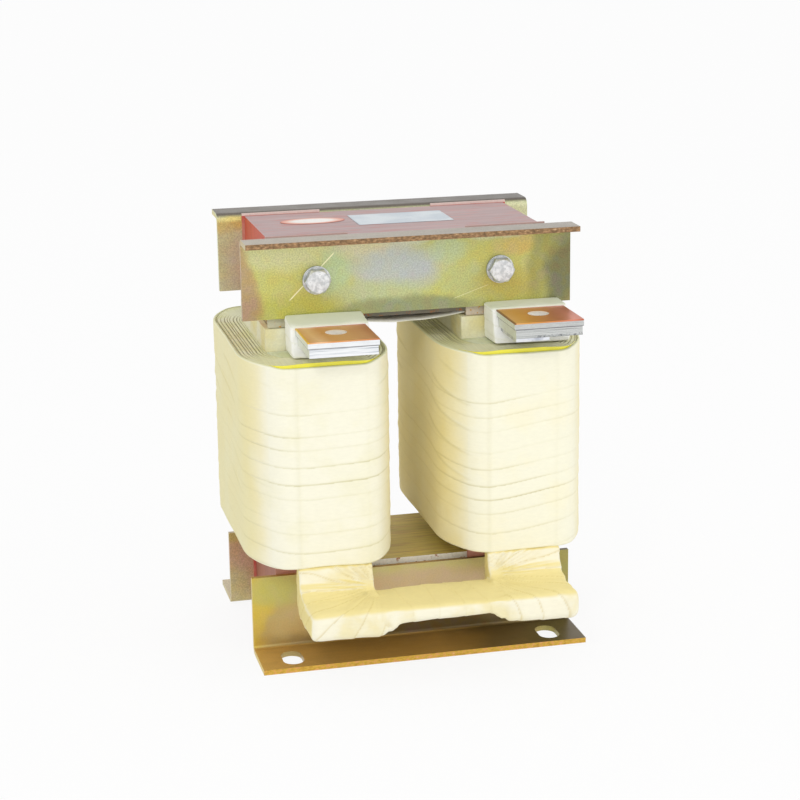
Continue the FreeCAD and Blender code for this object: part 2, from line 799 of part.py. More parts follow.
def coil_tape(word, x, jumper_centre):
    """The tape round the winding, thinned inside where the finish lead lies."""
    name = f"{word}_tape"
    wrap = column(name, COIL_OUTLINE, x, coil_base, coil_top)
    hollow = column(f"{name}_hollow", drawn_in(COIL_OUTLINE, size.tape_thickness), x,
                    coil_base - OVERSHOOT, coil_top + OVERSHOOT)
    relief = lead_slot(f"{name}_relief", jumper_centre, finish_lead_back, finish_lead_front + size.fit,
                       coil_base - OVERSHOOT, finish_lead_top + size.fit)
    keep(cut(f"{name}_cut", wrap, [hollow, relief]), f"{word}_coil_tape")


def edge_film(word, x):
    """The edging film inside the tape's front edge, lower towards both ends."""
    name, reach, top = f"{word}_film", size.edge_strip_reach, winding_top + size.edge_strip_proud
    strip = column(name, drawn_in(COIL_OUTLINE, strip_inset), x, strip_base, top)
    kept = column(f"{name}_kept", drawn_in(COIL_OUTLINE, strip_inset + size.edge_strip), x,
                  strip_base - OVERSHOOT, top + OVERSHOOT)
    shoulder, end_top = reach - size.edge_strip_taper, top - size.edge_strip_drop
    corners = [(-reach, strip_base), (reach, strip_base), (reach, end_top), (shoulder, top),
               (-shoulder, top), (-reach, end_top)]
    zone = polygon_bar(f"{name}_zone", "XZ_Plane", corners, size.coil_depth / 2)
    place(zone, x, -size.coil_depth / 2)
    keep(common(f"{name}_cut", cut(f"{name}_ring", strip, [kept]), zone), f"{word}_edge_film")


def coil(word, side, terminal_shift, jumper_shift):
    x = leg_centre * side
    former(word, x)
    winding(word, x, x + terminal_shift, x + jumper_shift)
    coil_fillers(word, x, x + terminal_shift)
    coil_tape(word, x, x + jumper_shift)
    edge_film(word, x)


coil("left", -1, size.left_terminal_shift, size.left_jumper_shift)
coil("right", 1, size.right_terminal_shift, size.right_jumper_shift)

# Start leads and terminals


def drilled(name, block, x, y):
    """A terminal piece with the cable hole through it."""
    hole = upright(f"{name}_hole", size.terminal_hole / 2, x, y, 0.0, overall_height)
    return cut(f"{name}_drilled", block, [hole])


def terminal(word, side, shift, top):
    centre = leg_centre * side + shift
    foot_top = top - size.copper_thickness - size.plate_thickness
    foot_base = foot_top - size.lead_thickness
    front = size.terminal_reach
    hole_y = -front + size.terminal_hole_inset
    # the lead is a bent bar that hangs from its foot
    rise = foot_top - (winding_top - size.start_lead_depth)
    bar = bent_bar(f"{word}_start_lead_bar", front - start_lead_front, rise, size.lead_thickness,
                   size.lead_width, size.lead_bend)
    place(bar, centre, -start_lead_front, foot_top, Vector(0, 1, 0), HALF_TURN)
    keep(drilled(f"{word}_start_lead", bar, centre, hole_y), f"{word}_start_lead")
    half = size.terminal_width / 2
    plate_top = foot_top + size.plate_thickness
    leg = plate_top - (winding_top - size.plate_leg_depth)
    plate = bent_bar(f"{word}_plate", front - start_lead_back, leg, size.plate_thickness, size.terminal_width,
                     size.lead_bend + size.lead_thickness - size.fit)
    place(plate, centre, -start_lead_back, plate_top, Vector(0, 1, 0), HALF_TURN)
    keep(drilled(f"{word}_plate", plate, centre, hole_y), f"{word}_terminal_plate")
    copper = box(f"{word}_copper", (centre - half, -front, plate_top),
                 (centre + half, -start_lead_front - size.copper_to_lead, top))
    keep(drilled(f"{word}_copper", copper, centre, hole_y), f"{word}_copper_facing")
    # taped wrap round the lead where it leaves the coil, up to the clamp behind it
    left, right = size.lead_wrap_left, size.lead_wrap_right
    back_y = -web_outer - size.fit
    wrap_base = coil_top + size.fit
    corners = [(-lead_wrap_foot, wrap_base), (back_y, wrap_base),
               (back_y, size.lead_wrap_top), (-lead_wrap_front, top + size.lead_wrap_over)]
    outer = polygon_bar(f"{word}_lead_wrap_outer", "YZ_Plane", corners, size.lead_width + left + right)
    place(outer, centre + (right - left) / 2)
    gap = size.fit
    low_x, high_x = centre - half - gap, centre + half + gap
    stem = box(f"{word}_lead_wrap_stem", (low_x, -start_lead_front - gap, wrap_base - OVERSHOOT),
               (high_x, -plate_leg_back + gap, top + gap))
    bend = box(f"{word}_lead_wrap_bend",
               (low_x, -start_lead_front - size.lead_bend - gap, foot_base - size.lead_bend - gap),
               (high_x, -start_lead_front, foot_base))
    mouth = box(f"{word}_lead_wrap_mouth",
                (low_x, -lead_wrap_foot - OVERSHOOT, foot_base - gap),
                (high_x, -start_lead_front, top + gap))
    keep(cut(f"{word}_lead_wrap_hollow", outer, [stem, bend, mouth]), f"{word}_lead_wrap")


terminal("left", -1, size.left_terminal_shift, size.left_terminal_top)
terminal("right", 1, size.right_terminal_shift, size.right_terminal_top)


def backing_strip():
    """A strip below one half of the right terminal, cut by the same cable hole."""
    centre = leg_centre + size.right_terminal_shift
    stack = size.copper_thickness + size.plate_thickness + size.lead_thickness
    top = size.right_terminal_top - stack
    left, front = centre - size.lead_width / 2, -size.terminal_reach
    back = -lead_wrap_foot - size.fit
    strip = box("backing_strip", (left, front, top - size.backing_strip_thickness),
                (left + size.backing_strip_width, back, top))
    hole_y = front + size.terminal_hole_inset
    keep(drilled("backing_strip", strip, centre, hole_y), "right_backing_strip")


backing_strip()

# Finish leads, jumper and its taped wrap


finish_centres = {
    "left": leg_centre * -1 + size.left_jumper_shift,
    "right": leg_centre + size.right_jumper_shift,
}


def finish_lead(word):
    foot_base = jumper_base - size.lead_thickness
    rise = winding_base + size.finish_lead_depth - foot_base
    reach = jumper_front - finish_lead_front
    bar = bent_bar(f"{word}_finish_lead", reach, rise, size.lead_thickness, size.lead_width, size.lead_bend)
    place(bar, finish_centres[word], -finish_lead_front, foot_base)
    keep(bar, f"{word}_finish_lead")


for side_word in finish_centres:
    finish_lead(side_word)

bar_left = finish_centres["left"] - size.lead_width / 2 - size.jumper_bar_end
bar_right = finish_centres["right"] + size.lead_width / 2 + size.jumper_bar_end
keep(box("jumper", (bar_left, -jumper_front, jumper_base),
         (bar_right, -jumper_back, size.jumper_top)), "jumper_bar")


def jumper_wrap():
    """The tape over the jumper, its two joints and the leads that come down to it."""
    wrap, gap = size.jumper_wrap, size.fit
    front, back = -jumper_front - wrap, -finish_lead_back + wrap
    top = size.jumper_top + wrap
    foot_base = jumper_base - size.lead_thickness
    outer = [box("wrap_bar", (bar_left - wrap, front, jumper_base - wrap),
                 (bar_right + wrap, -jumper_back + wrap, top))]
    inner = [box("wrap_bar_space", (bar_left - gap, -jumper_front - gap, jumper_base - gap),
                 (bar_right + gap, -finish_lead_front, size.jumper_top + gap))]
    for word, centre in finish_centres.items():
        half = size.lead_width / 2
        low_x, high_x = centre - half, centre + half
        end = size.jumper_bar_end
        riser = size.riser_wrap
        joint_base = foot_base - wrap - size.jumper_joint_sag
        outer.append(box(f"wrap_{word}_joint", (low_x - wrap - end, front, joint_base),
                         (high_x + wrap + end, back, jumper_base)))
        outer.append(box(f"wrap_{word}_riser", (low_x - riser, -finish_lead_front - riser, foot_base),
                         (high_x + riser, back, coil_base - gap)))
        inner.append(box(f"wrap_{word}_foot_space", (low_x - gap, -jumper_front - gap, foot_base - gap),
                         (high_x + gap, -finish_lead_back + gap, jumper_base + gap)))
        inner.append(box(f"wrap_{word}_riser_space", (low_x - gap, -finish_lead_front - gap, foot_base),
                         (high_x + gap, -finish_lead_back + gap, coil_base + OVERSHOOT)))
    keep(cut("jumper_wrap_hollow", fuse("jumper_wrap_outer", outer), inner), "jumper_wrap")


jumper_wrap()

# Checks and files

doc.recompute()
for item in doc.Objects:
    bad = [word for word in ("Invalid", "Error") if word in item.State]
    if bad:
        raise ValueError(f"{item.Label} is {bad}")
for item in nodes:
    if item.Shape.isNull() or not item.Shape.isValid() or not item.Shape.Solids:
        raise ValueError(f"{item.Label} has no sound shape")

os.makedirs("parts", exist_ok=True)
for item in nodes:
    item.Shape.exportStep(os.path.join("parts", f"{item.Label}.step"))
print(len(nodes), "sub-parts")
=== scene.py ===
import math
import random

import bmesh
import bpy
from mathutils import Matrix, Vector, noise


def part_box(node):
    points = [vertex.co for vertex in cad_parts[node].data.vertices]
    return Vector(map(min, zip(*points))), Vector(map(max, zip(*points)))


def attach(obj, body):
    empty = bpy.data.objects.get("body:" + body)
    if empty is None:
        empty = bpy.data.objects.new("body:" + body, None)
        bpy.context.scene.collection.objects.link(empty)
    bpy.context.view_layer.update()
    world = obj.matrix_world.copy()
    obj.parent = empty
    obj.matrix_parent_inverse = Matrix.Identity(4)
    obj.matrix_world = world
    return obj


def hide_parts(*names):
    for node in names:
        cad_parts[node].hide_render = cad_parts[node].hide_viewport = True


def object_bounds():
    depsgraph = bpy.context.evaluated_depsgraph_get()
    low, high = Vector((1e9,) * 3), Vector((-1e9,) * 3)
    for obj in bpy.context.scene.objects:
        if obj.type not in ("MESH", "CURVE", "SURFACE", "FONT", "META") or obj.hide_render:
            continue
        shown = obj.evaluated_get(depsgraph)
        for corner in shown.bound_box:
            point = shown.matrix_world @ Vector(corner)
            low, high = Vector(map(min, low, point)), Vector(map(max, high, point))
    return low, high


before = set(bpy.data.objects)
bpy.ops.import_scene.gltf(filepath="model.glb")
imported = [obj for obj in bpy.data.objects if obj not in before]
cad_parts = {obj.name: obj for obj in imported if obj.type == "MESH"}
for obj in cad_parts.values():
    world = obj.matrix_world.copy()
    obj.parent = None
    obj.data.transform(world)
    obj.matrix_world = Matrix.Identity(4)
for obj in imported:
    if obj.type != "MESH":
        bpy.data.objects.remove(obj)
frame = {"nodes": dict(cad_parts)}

cad_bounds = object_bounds()

MM = 0.001

# Camera, as the photograph was taken
CAMERA_PLACE = Vector((-0.26447, -1.14718, 0.44547))
CAMERA_PITCH = 0.259
CAMERA_YAW = 0.23
CAMERA_ROLL = -0.015
CAMERA_LENS = 92.5
CAMERA_SENSOR = 36.0

# Sizes of the object that the frame's boxes don't give
TAPE_THICKNESS = 1.2 * MM
LEAD_THICKNESS = 5.0 * MM
PLATE_THICKNESS = 3.0 * MM
LEAD_WIDTH = 38.0 * MM
BEND_RADIUS = 2.3 * MM
CLEARANCE = 0.3 * MM
TERMINAL_HOLE = 6.0 * MM
HOLE_FROM_FRONT = 21.0 * MM
# How far each corner of a coil starts from its sides, across and along, and its tight radius
OUTER_CORNER = (23.5 * MM, 42.0 * MM, 15.0 * MM)
INNER_CORNER = (10.0 * MM, 18.0 * MM, 6.5 * MM)
INNER_HALF_WIDTH = 26.1 * MM
INNER_HALF_DEPTH = 58.4 * MM

CLAMP_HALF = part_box("upper_front_clamp")[1].x
CORE_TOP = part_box("upper_yoke")[1].z

nodes = frame["nodes"]


def rgb(red, green, blue):
    """A colour as seen on a screen, 0 to 255, in the linear values that shaders use."""
    def linear(part):
        share = part / 255
        return share / 12.92 if share <= 0.04045 else ((share + 0.055) / 1.055) ** 2.4
    return (linear(red), linear(green), linear(blue), 1.0)


# Materials

class Nodes:
    """A node tree that is built up step by step."""

    def __init__(self, tree):
        self.tree = tree

    def node(self, kind, inputs=None, **settings):
        made = self.tree.nodes.new("ShaderNode" + kind)
        for name, value in settings.items():
            setattr(made, name, value)
        for name, value in (inputs or {}).items():
            self.feed(made.inputs[name], value)
        return made

    def feed(self, socket, value):
        if isinstance(value, bpy.types.NodeSocket):
            self.tree.links.new(value, socket)
        elif socket.type == "VECTOR":
            socket.default_value = value[:3]
        else:
            socket.default_value = value

    def maths(self, operation, first, second=0.0, third=0.0):
        return self.node("Math", {0: first, 1: second, 2: third}, operation=operation).outputs[0]


class Paint(Nodes):
    """A node material that is built up from the place on the object."""

    def __init__(self, name, roughness=0.6, metallic=0.0):
        self.material = bpy.data.materials.new(name)
        self.material.use_nodes = True
        super().__init__(self.material.node_tree)
        self.shader = self.tree.nodes["Principled BSDF"]
        self.shader.inputs["Roughness"].default_value = roughness
        self.shader.inputs["Metallic"].default_value = metallic
        self.position = self.node("TexCoord").outputs["Object"]
        self.x, self.y, self.z = self.split(self.position)
        self.facing_x, self.facing_y, self.facing_z = self.split(self.node("NewGeometry").outputs["Normal"])
        self.relief = None

    def split(self, vector):
        return self.node("SeparateXYZ", {0: vector}).outputs

    def size(self, value):
        return self.maths("ABSOLUTE", value)

    def invert(self, value):
        return self.maths("SUBTRACT", 1.0, value)

    def times(self, first, second):
        return self.maths("MULTIPLY", first, second)

    def past(self, value, start, length=1.0):
        """How far a value is past start, in lengths."""
        return self.maths("DIVIDE", self.maths("SUBTRACT", value, start), length)

    def squares(self, first, second):
        """The squares of two values, added."""
        return self.maths("ADD", self.times(first, first), self.times(second, second))

    def noise(self, scale, detail=2.0, stretch=(1, 1, 1), shift=0.0):
        place = self.node("Mapping", {"Vector": self.position, "Scale": stretch, "Location": (shift,) * 3})
        inputs = {"Vector": place.outputs[0], "Scale": scale, "Detail": detail}
        return self.node("TexNoise", inputs).outputs["Fac"]

    def carried(self, name):
        """A number that the mesh carries at each point."""
        return self.node("Attribute", attribute_name=name).outputs["Fac"]

    def between(self, value, low, high):
        """0 below low, 1 above high and smooth between them."""
        inputs = {"Value": value, "From Min": low, "From Max": high}
        return self.node("MapRange", inputs, interpolation_type="SMOOTHSTEP").outputs[0]

    def below(self, value, low, high):
        """1 below low, 0 above high and smooth between them."""
        return self.invert(self.between(value, low, high))

    def near(self, value, middle, half, soft):
        """1 within half of middle, 0 further out than soft beyond that."""
        return self.below(self.size(self.past(value, middle)), half, half + soft)

    def ramp(self, value, *stops):
        made = self.node("ValToRGB", {0: value})
        bands = made.color_ramp.elements
        while len(bands) < len(stops):
            bands.new(1.0)
        for band, (place, colour) in zip(bands, stops):
            band.position = place
            band.color = colour
        return made.outputs[0]

    def mix(self, share, first, second):
        return self.node("Mix", {"Factor": share, 6: first, 7: second}, data_type="RGBA").outputs[2]

    def shade(self, colour, value, low, high):
        """Darkens or lightens a colour by a value between two factors."""
        grey = self.node("MapRange", {"Value": value, "To Min": low, "To Max": high}).outputs[0]
        return self.node("VectorMath", {0: colour, "Scale": grey}, operation="SCALE").outputs[0]

    def bump(self, height, depth, strength=1.0):
        inputs = {"Distance": depth, "Strength": strength, "Height": height}
        if self.relief is not None:
            inputs["Normal"] = self.relief
        self.relief = self.node("Bump", inputs).outputs[0]

    def finish(self, colour, roughness=None):
        self.feed(self.shader.inputs["Base Color"], colour)
        if roughness is not None:
            self.feed(self.shader.inputs["Roughness"], roughness)
        if self.relief is not None:
            self.feed(self.shader.inputs["Normal"], self.relief)
        return self.material


def assign(material, *names):
    """Gives carried-over nodes their finish."""
    for name in names:
        piece = nodes[name]
        if not piece.material_slots:
            piece.data.materials.append(material)
        for place in piece.material_slots:
            place.link = "OBJECT"
            place.material = material


def scratch(paint, start, end, width):
    """1 on a straight scratch on a face that looks along Y, from start to end in X and Z."""
    run = Vector((end[0] - start[0], end[1] - start[1]))
    along, across = run.normalized(), Vector((-run.y, run.x)).normalized()
    from_x, from_z = paint.past(paint.x, start[0]), paint.past(paint.z, start[1])

    def project(direction):
        return paint.maths("ADD", paint.times(from_x, direction.x), paint.times(from_z, direction.y))

    line = paint.below(paint.size(project(across)), width / 2, width)
    length = project(along)
    taper = width * 6
    inside = paint.times(paint.between(length, 0.0, taper),
                         paint.below(length, run.length - taper, run.length))
    return paint.times(line, inside)


PATCH_DRIFT = 30.0 * MM
FINE_HUES = ((0.34, rgb(206, 168, 112)), (0.46, rgb(198, 202, 124)), (0.57, rgb(176, 198, 174)),
             (0.68, rgb(204, 184, 196)))


def zinc_clamp(node, base, patches, shift, tops, edge=None, marks=(), grain=(0.86, 1.15), hue_share=0.12):
    """Iridescent yellow chromate on a bent clamp plate.

    base is the colour of the upright faces, patches lie on them in X and Z, tops are the colours of
    the faces that look up, from left to right, edge those of the cut front edge, and marks are
    scratches. grain is how dark and how light the grains are, and hue_share how far fine hues show.
    """
    paint = Paint(f"zinc_{node}", 0.36, 0.5)

    def warped(place, scale, seed, drift):
        moved = paint.maths("MULTIPLY_ADD", paint.noise(scale, 4.0, shift=seed), drift, place)
        return paint.past(moved, drift / 2)

    warped_x = warped(paint.x, 28.0, shift, PATCH_DRIFT)
    warped_z = warped(paint.z, 34.0, shift + 5, PATCH_DRIFT / 2)
    colour = base
    for x, z, reach_x, reach_z, tone, strength in patches:
        across = paint.past(warped_x, x * MM, reach_x * MM)
        up = paint.past(warped_z, z * MM, reach_z * MM)
        there = paint.below(paint.squares(across, up), 0.1, 1.3)
        colour = paint.mix(paint.times(there, strength), colour, tone)
    hue = paint.ramp(paint.noise(130.0, 5.0, shift=shift + 3), *FINE_HUES)
    colour = paint.mix(hue_share, colour, hue)
    along = paint.between(warped_x, -CLAMP_HALF, CLAMP_HALF)
    # Faces that look up take the tops' tones along X; on the lower front clamp these darken to the right as a
    # painted shadow of the jumper
    top_tone_and_shade = paint.ramp(along, *[(index / (len(tops) - 1), tone) for index, tone in enumerate(tops)])
    top_tone_and_shade = paint.shade(top_tone_and_shade, paint.noise(260.0, 4.0, stretch=(0.25, 1, 1), shift=shift), 0.86, 1.1)
    colour = paint.mix(paint.between(paint.facing_z, 0.5, 0.9), colour, top_tone_and_shade)
    if edge is not None:
        edge_y = -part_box(node)[0].y
        flecks = paint.ramp(paint.noise(420.0, 3.0, stretch=(1, 1, 2), shift=shift), *edge)
        beyond = paint.between(paint.size(paint.y), edge_y - 0.6 * MM, edge_y - 0.2 * MM)
        upright = paint.below(paint.size(paint.facing_z), 0.4, 0.7)
        colour = paint.mix(paint.times(beyond, upright), colour, flecks)
    grains = paint.between(paint.noise(1250.0, 2.0, shift=shift), 0.3, 0.7)
    colour = paint.shade(colour, grains, *grain)
    for start, end, width, bright in marks:
        line = paint.times(scratch(paint, start, end, width), bright)
        colour = paint.mix(line, colour, rgb(252, 248, 205))
    paint.bump(paint.noise(1500.0, 3.0, shift=shift), 0.03 * MM, 0.5)
    paint.bump(paint.noise(40.0, 2.0, shift=shift), 0.25 * MM, 0.5)
    rough = paint.maths("MULTIPLY_ADD", paint.noise(90.0, 3.0, shift=shift + 1), 0.22, 0.27)
    assign(paint.finish(colour, rough), node)


def lamination(name, end, top, face, shift, underside=None):
    """Stacked sheets: streaks on the ends and top, where the sheet edges show, and a plain front face."""
    paint = Paint(name, 0.55, 0.1)
    sheets = paint.noise(1.0, 2.0, stretch=(9, 1300, 9), shift=shift)
    broad = paint.noise(1.0, 3.0, stretch=(25, 160, 25), shift=shift)
    ends = paint.shade(paint.shade(end, sheets, 0.55, 1.3), broad, 0.8, 1.2)
    courses = paint.noise(1.0, 4.0, stretch=(14, 520, 9), shift=shift + 2)
    tops = paint.shade(paint.shade(top, courses, 0.66, 1.34), broad, 0.86, 1.14)
    reddish = paint.between(paint.noise(1.0, 4.0, stretch=(60, 420, 9), shift=shift + 7), 0.5, 0.66)
    tops = paint.mix(paint.times(reddish, 0.3), tops, paint.shade(end, courses, 0.8, 1.2))
    rust = paint.ramp(paint.noise(300.0, 5.0, shift=shift), (0.0, face), (0.56, face),
                      (0.66, rgb(175, 105, 45)), (1.0, rgb(120, 60, 25)))
    faces = paint.shade(rust, paint.noise(700.0, 2.0, shift=shift), 0.8, 1.15)
    colour = paint.mix(paint.between(paint.size(paint.facing_y), 0.5, 0.8), ends, faces)
    colour = paint.mix(paint.between(paint.facing_z, 0.5, 0.8), colour, tops)
    if underside is not None:
        colour = paint.mix(paint.between(paint.times(paint.facing_z, -1.0), 0.5, 0.8), colour, underside)
    paint.bump(sheets, 0.12 * MM, 0.7)
    return paint.finish(colour)


def board(name, colour, second, scale=90.0, roughness=0.75):
    """Pressed or impregnated board with fibres and stains."""
    paint = Paint(name, roughness)
    tint = paint.mix(paint.between(paint.noise(scale, 4.0), 0.38, 0.66), colour, second)
    tint = paint.shade(tint, paint.noise(900.0, 3.0, stretch=(1, 0.25, 1)), 0.86, 1.1)
    paint.bump(paint.noise(700.0, 3.0), 0.08 * MM, 0.6)
    return paint.finish(tint)


# Pads above the middle are painted grey shade up to PAD_GREY_TOP, in one tone left of PAD_TONE_X and another
# right of it
PAD_GREY_TOP = 197.5 * MM
PAD_MIDDLE = 120.0 * MM
PAD_TONE_X = 24.0 * MM


def pads(name, body, top, window_edge=rgb(164, 160, 140), window_end=rgb(206, 192, 176)):
    """Red board between core and clamp, paler on top as a painted sheen, and painted grey shade where it
    hangs into the window.
    """
    paint = Paint(name, 0.7)
    tint = paint.mix(paint.between(paint.noise(90.0, 4.0), 0.38, 0.66), body, rgb(206, 140, 124))
    # Painted shade where the pads hang into the window, with specks
    window_shade = paint.mix(paint.between(paint.x, PAD_TONE_X, PAD_TONE_X + 3 * MM), window_edge, window_end)
    specks = paint.between(paint.noise(420.0, 4.0), 0.62, 0.7)
    window_shade = paint.mix(specks, window_shade, rgb(214, 160, 62))
    hanging = paint.times(paint.below(paint.z, PAD_GREY_TOP, PAD_GREY_TOP + 1.5 * MM),
                          paint.between(paint.z, PAD_MIDDLE, PAD_MIDDLE + 1 * MM))
    colour = paint.mix(hanging, tint, window_shade)
    # Paler on top and above the core: a painted sheen
    colour = paint.mix(paint.between(paint.facing_z, 0.5, 0.8), colour, top)
    colour = paint.mix(paint.between(paint.z, CORE_TOP + 0.1 * MM, CORE_TOP + 0.4 * MM), colour, top)
    paint.bump(paint.noise(700.0, 3.0), 0.08 * MM, 0.6)
    return paint.finish(paint.shade(colour, paint.noise(900.0, 3.0), 0.84, 1.12))


def wound_layers():
    """Edges of the wound paper and foil: pale ridges with darker valleys."""
    paint = Paint("wound_layers", 0.7)
    clouds = paint.between(paint.noise(55.0, 4.0), 0.35, 0.65)
    ridge = paint.mix(clouds, rgb(222, 220, 170), rgb(232, 230, 196))
    ridge = paint.shade(ridge, paint.noise(1.0, 3.0, stretch=(1500, 30, 30)), 0.84, 1.12)
    valley = paint.shade(rgb(126, 116, 70), paint.noise(200.0, 3.0), 0.7, 1.25)
    paint.bump(paint.noise(1.0, 3.0, stretch=(1800, 40, 200)), 0.12 * MM, 0.6)
    return paint.finish(paint.mix(paint.carried("valley"), ridge, valley))


def hole_wall(paint, hole):
    """1 on the wall of a terminal's hole."""
    away = paint.maths("SQRT", paint.squares(paint.past(paint.x, hole[0]), paint.past(paint.y, hole[1])))
    close = paint.below(away, TERMINAL_HOLE + 0.05 * MM, TERMINAL_HOLE + 0.25 * MM)
    return paint.times(close, paint.below(paint.size(paint.facing_z), 0.5, 0.8))


def terminal_metal(name, hole, seam, burr, light, dark):
    """Cut aluminium: bright sawn edges, a dark seam between the layers and burrs below."""
    paint = Paint(name, 0.38, 0.55)
    streaks = paint.noise(1.0, 4.0, stretch=(36, 120, 2400), shift=1.0)
    colour = paint.mix(paint.between(streaks, 0.46, 0.74), light, dark)
    side_tone = paint.shade(rgb(232, 236, 226), paint.noise(300.0, 3.0), 0.86, 1.08)
    colour = paint.mix(paint.between(paint.size(paint.facing_x), 0.5, 0.8), colour, side_tone)
    plate_edge = paint.between(paint.z, seam + 0.2 * MM, seam + 0.4 * MM)
    pale = paint.shade(light, paint.noise(260.0, 4.0), 0.78, 1.1)
    front = paint.between(paint.size(paint.facing_y), 0.5, 0.8)
    colour = paint.mix(paint.times(paint.times(plate_edge, front), 0.7), colour, pale)
    gap = paint.near(paint.z, seam, 0.12 * MM, 0.22 * MM)
    colour = paint.mix(paint.times(gap, 0.85), colour, rgb(92, 88, 96))
    if burr is not None:
        low, from_x = burr
        ragged = paint.between(paint.noise(900.0, 3.0, stretch=(1, 1, 1.4), shift=4.0), 0.5, 0.58)
        zone = paint.below(paint.z, low + 0.5 * MM, low + 1.9 * MM)
        zone = paint.times(zone, paint.between(paint.x, from_x, from_x + 9 * MM))
        burrs = paint.times(paint.times(ragged, zone), front)
        colour = paint.mix(paint.times(burrs, 0.8), colour, rgb(84, 88, 94))
        paint.bump(ragged, 0.4 * MM, 0.5)
    # The hole's wall is painted near white: painted light
    colour = paint.mix(hole_wall(paint, hole), colour, rgb(250, 246, 240))
    paint.bump(streaks, 0.08 * MM, 0.6)
    return paint.finish(colour, paint.maths("MULTIPLY_ADD", streaks, 0.3, 0.2))


def copper_face(name, hole, left, width, tones, rim):
    """Rolled copper with soft bands across it, partly a painted highlight, and a bright or dark left rim."""
    paint = Paint(name, 0.32, 0.6)
    across = paint.past(paint.x, left, width)
    cloud = paint.noise(45.0, 3.0, stretch=(1, 0.4, 1), shift=hole[0] * 100)
    along = paint.maths("ADD", across, paint.maths("MULTIPLY_ADD", cloud, 0.24, -0.12))
    colour = paint.ramp(along, *tones)
    colour = paint.shade(colour, paint.noise(700.0, 3.0, stretch=(0.2, 1, 1)), 1.0, 1.2)
    colour = paint.mix(paint.below(across, 0.012, 0.03), colour, rim)
    # The hole's wall is painted near white: painted light
    colour = paint.mix(hole_wall(paint, hole), colour, rgb(250, 240, 226))
    paint.bump(paint.noise(420.0, 3.0), 0.03 * MM, 0.5)
    return paint.finish(colour, paint.maths("MULTIPLY_ADD", cloud, 0.2, 0.24))


def metal(name, light, dark, roughness, metallic=0.85, stretch=(0.15, 1, 1), scale=900.0, side_tone=None):
    """Brushed, cut or rolled metal."""
    paint = Paint(name, roughness, metallic)
    streaks = paint.noise(scale, 3.0, stretch=stretch)
    stains = paint.noise(scale / 7, 4.0, shift=2.0)
    colour = paint.mix(paint.between(stains, 0.38, 0.62), light, dark)
    colour = paint.shade(colour, streaks, 0.8, 1.14)
    # Faces turned from the front take the side tone; on the bolts and washers it is painted shade on their
    # flanks
    if side_tone is not None:
        colour = paint.mix(paint.between(paint.size(paint.facing_y), 0.3, 0.9), side_tone, colour)
    paint.bump(streaks, 0.05 * MM, 0.6)
    rough = paint.maths("MULTIPLY_ADD", stains, 0.3, roughness - 0.12)
    return paint.finish(colour, rough)


# Waves of the weave, in radians a metre
WEAVE = 9500.0


def tape(name, face, turned_tone, top, fold_tone, tint=0.0, blotches=0.3, wrinkles=0.2):
    """Varnished cotton tape: woven, with painted shade that makes it yellower on turned and upper faces and
    darker in its folds.
    """
    paint = Paint(name, 0.6)
    around = paint.maths("ADD", paint.x, paint.y)
    weave = paint.times(*(paint.maths("SINE", paint.times(way, WEAVE)) for way in (around, paint.z)))
    # Turned and upper faces take their own tones: painted shading of the tape
    colour = paint.mix(paint.between(paint.times(paint.facing_x, -1.0), 0.84, 0.99), face, turned_tone)
    # Painted shade in patches: yellower at the turn of the front corner and on the far side
    if tint:
        patchy = paint.between(paint.noise(26.0, 3.0, shift=3.0), 0.3, 0.6)
        turn = paint.near(paint.facing_x, -0.93, 0.02, 0.12)
        far_side = paint.between(paint.facing_x, 0.78, 0.98)
        strength = paint.times(paint.maths("MULTIPLY_ADD", patchy, 0.6, 0.4), tint)
        turn_shade = paint.times(paint.maths("ADD", turn, far_side), strength)
        colour = paint.mix(turn_shade, colour, rgb(240, 220, 132))
    colour = paint.mix(paint.between(paint.facing_z, 0.3, 0.8), colour, top)
    blotch = paint.noise(38.0, 4.0, shift=1.0)
    colour = paint.mix(paint.times(paint.between(blotch, 0.48, 0.68), blotches), colour, turned_tone)
    # Painted shade in the folds and creases
    colour = paint.mix(paint.times(paint.carried("fold"), 0.55), colour, fold_tone)
    colour = paint.shade(colour, paint.noise(300.0, 4.0, stretch=(1, 1, 3)), 0.95, 1.03)
    paint.bump(weave, 0.03 * MM, 0.35)
    paint.bump(paint.noise(240.0, 4.0, stretch=(0.3, 0.3, 2.5)), wrinkles * MM, 0.4)
    paint.bump(paint.noise(150.0, 4.0, shift=6.0), wrinkles * 2 * MM, 0.3)
    return paint.finish(colour, paint.maths("MULTIPLY_ADD", blotch, 0.25, 0.6))


def edge_film():
    """Glossy polyester film."""
    paint = Paint("yellow_edge_film", 0.22)
    tone = paint.shade(rgb(255, 246, 78), paint.noise(120.0, 3.0), 0.85, 1.08)
    paint.bump(paint.noise(160.0, 2.0), 0.15 * MM, 0.5)
    return paint.finish(tone)


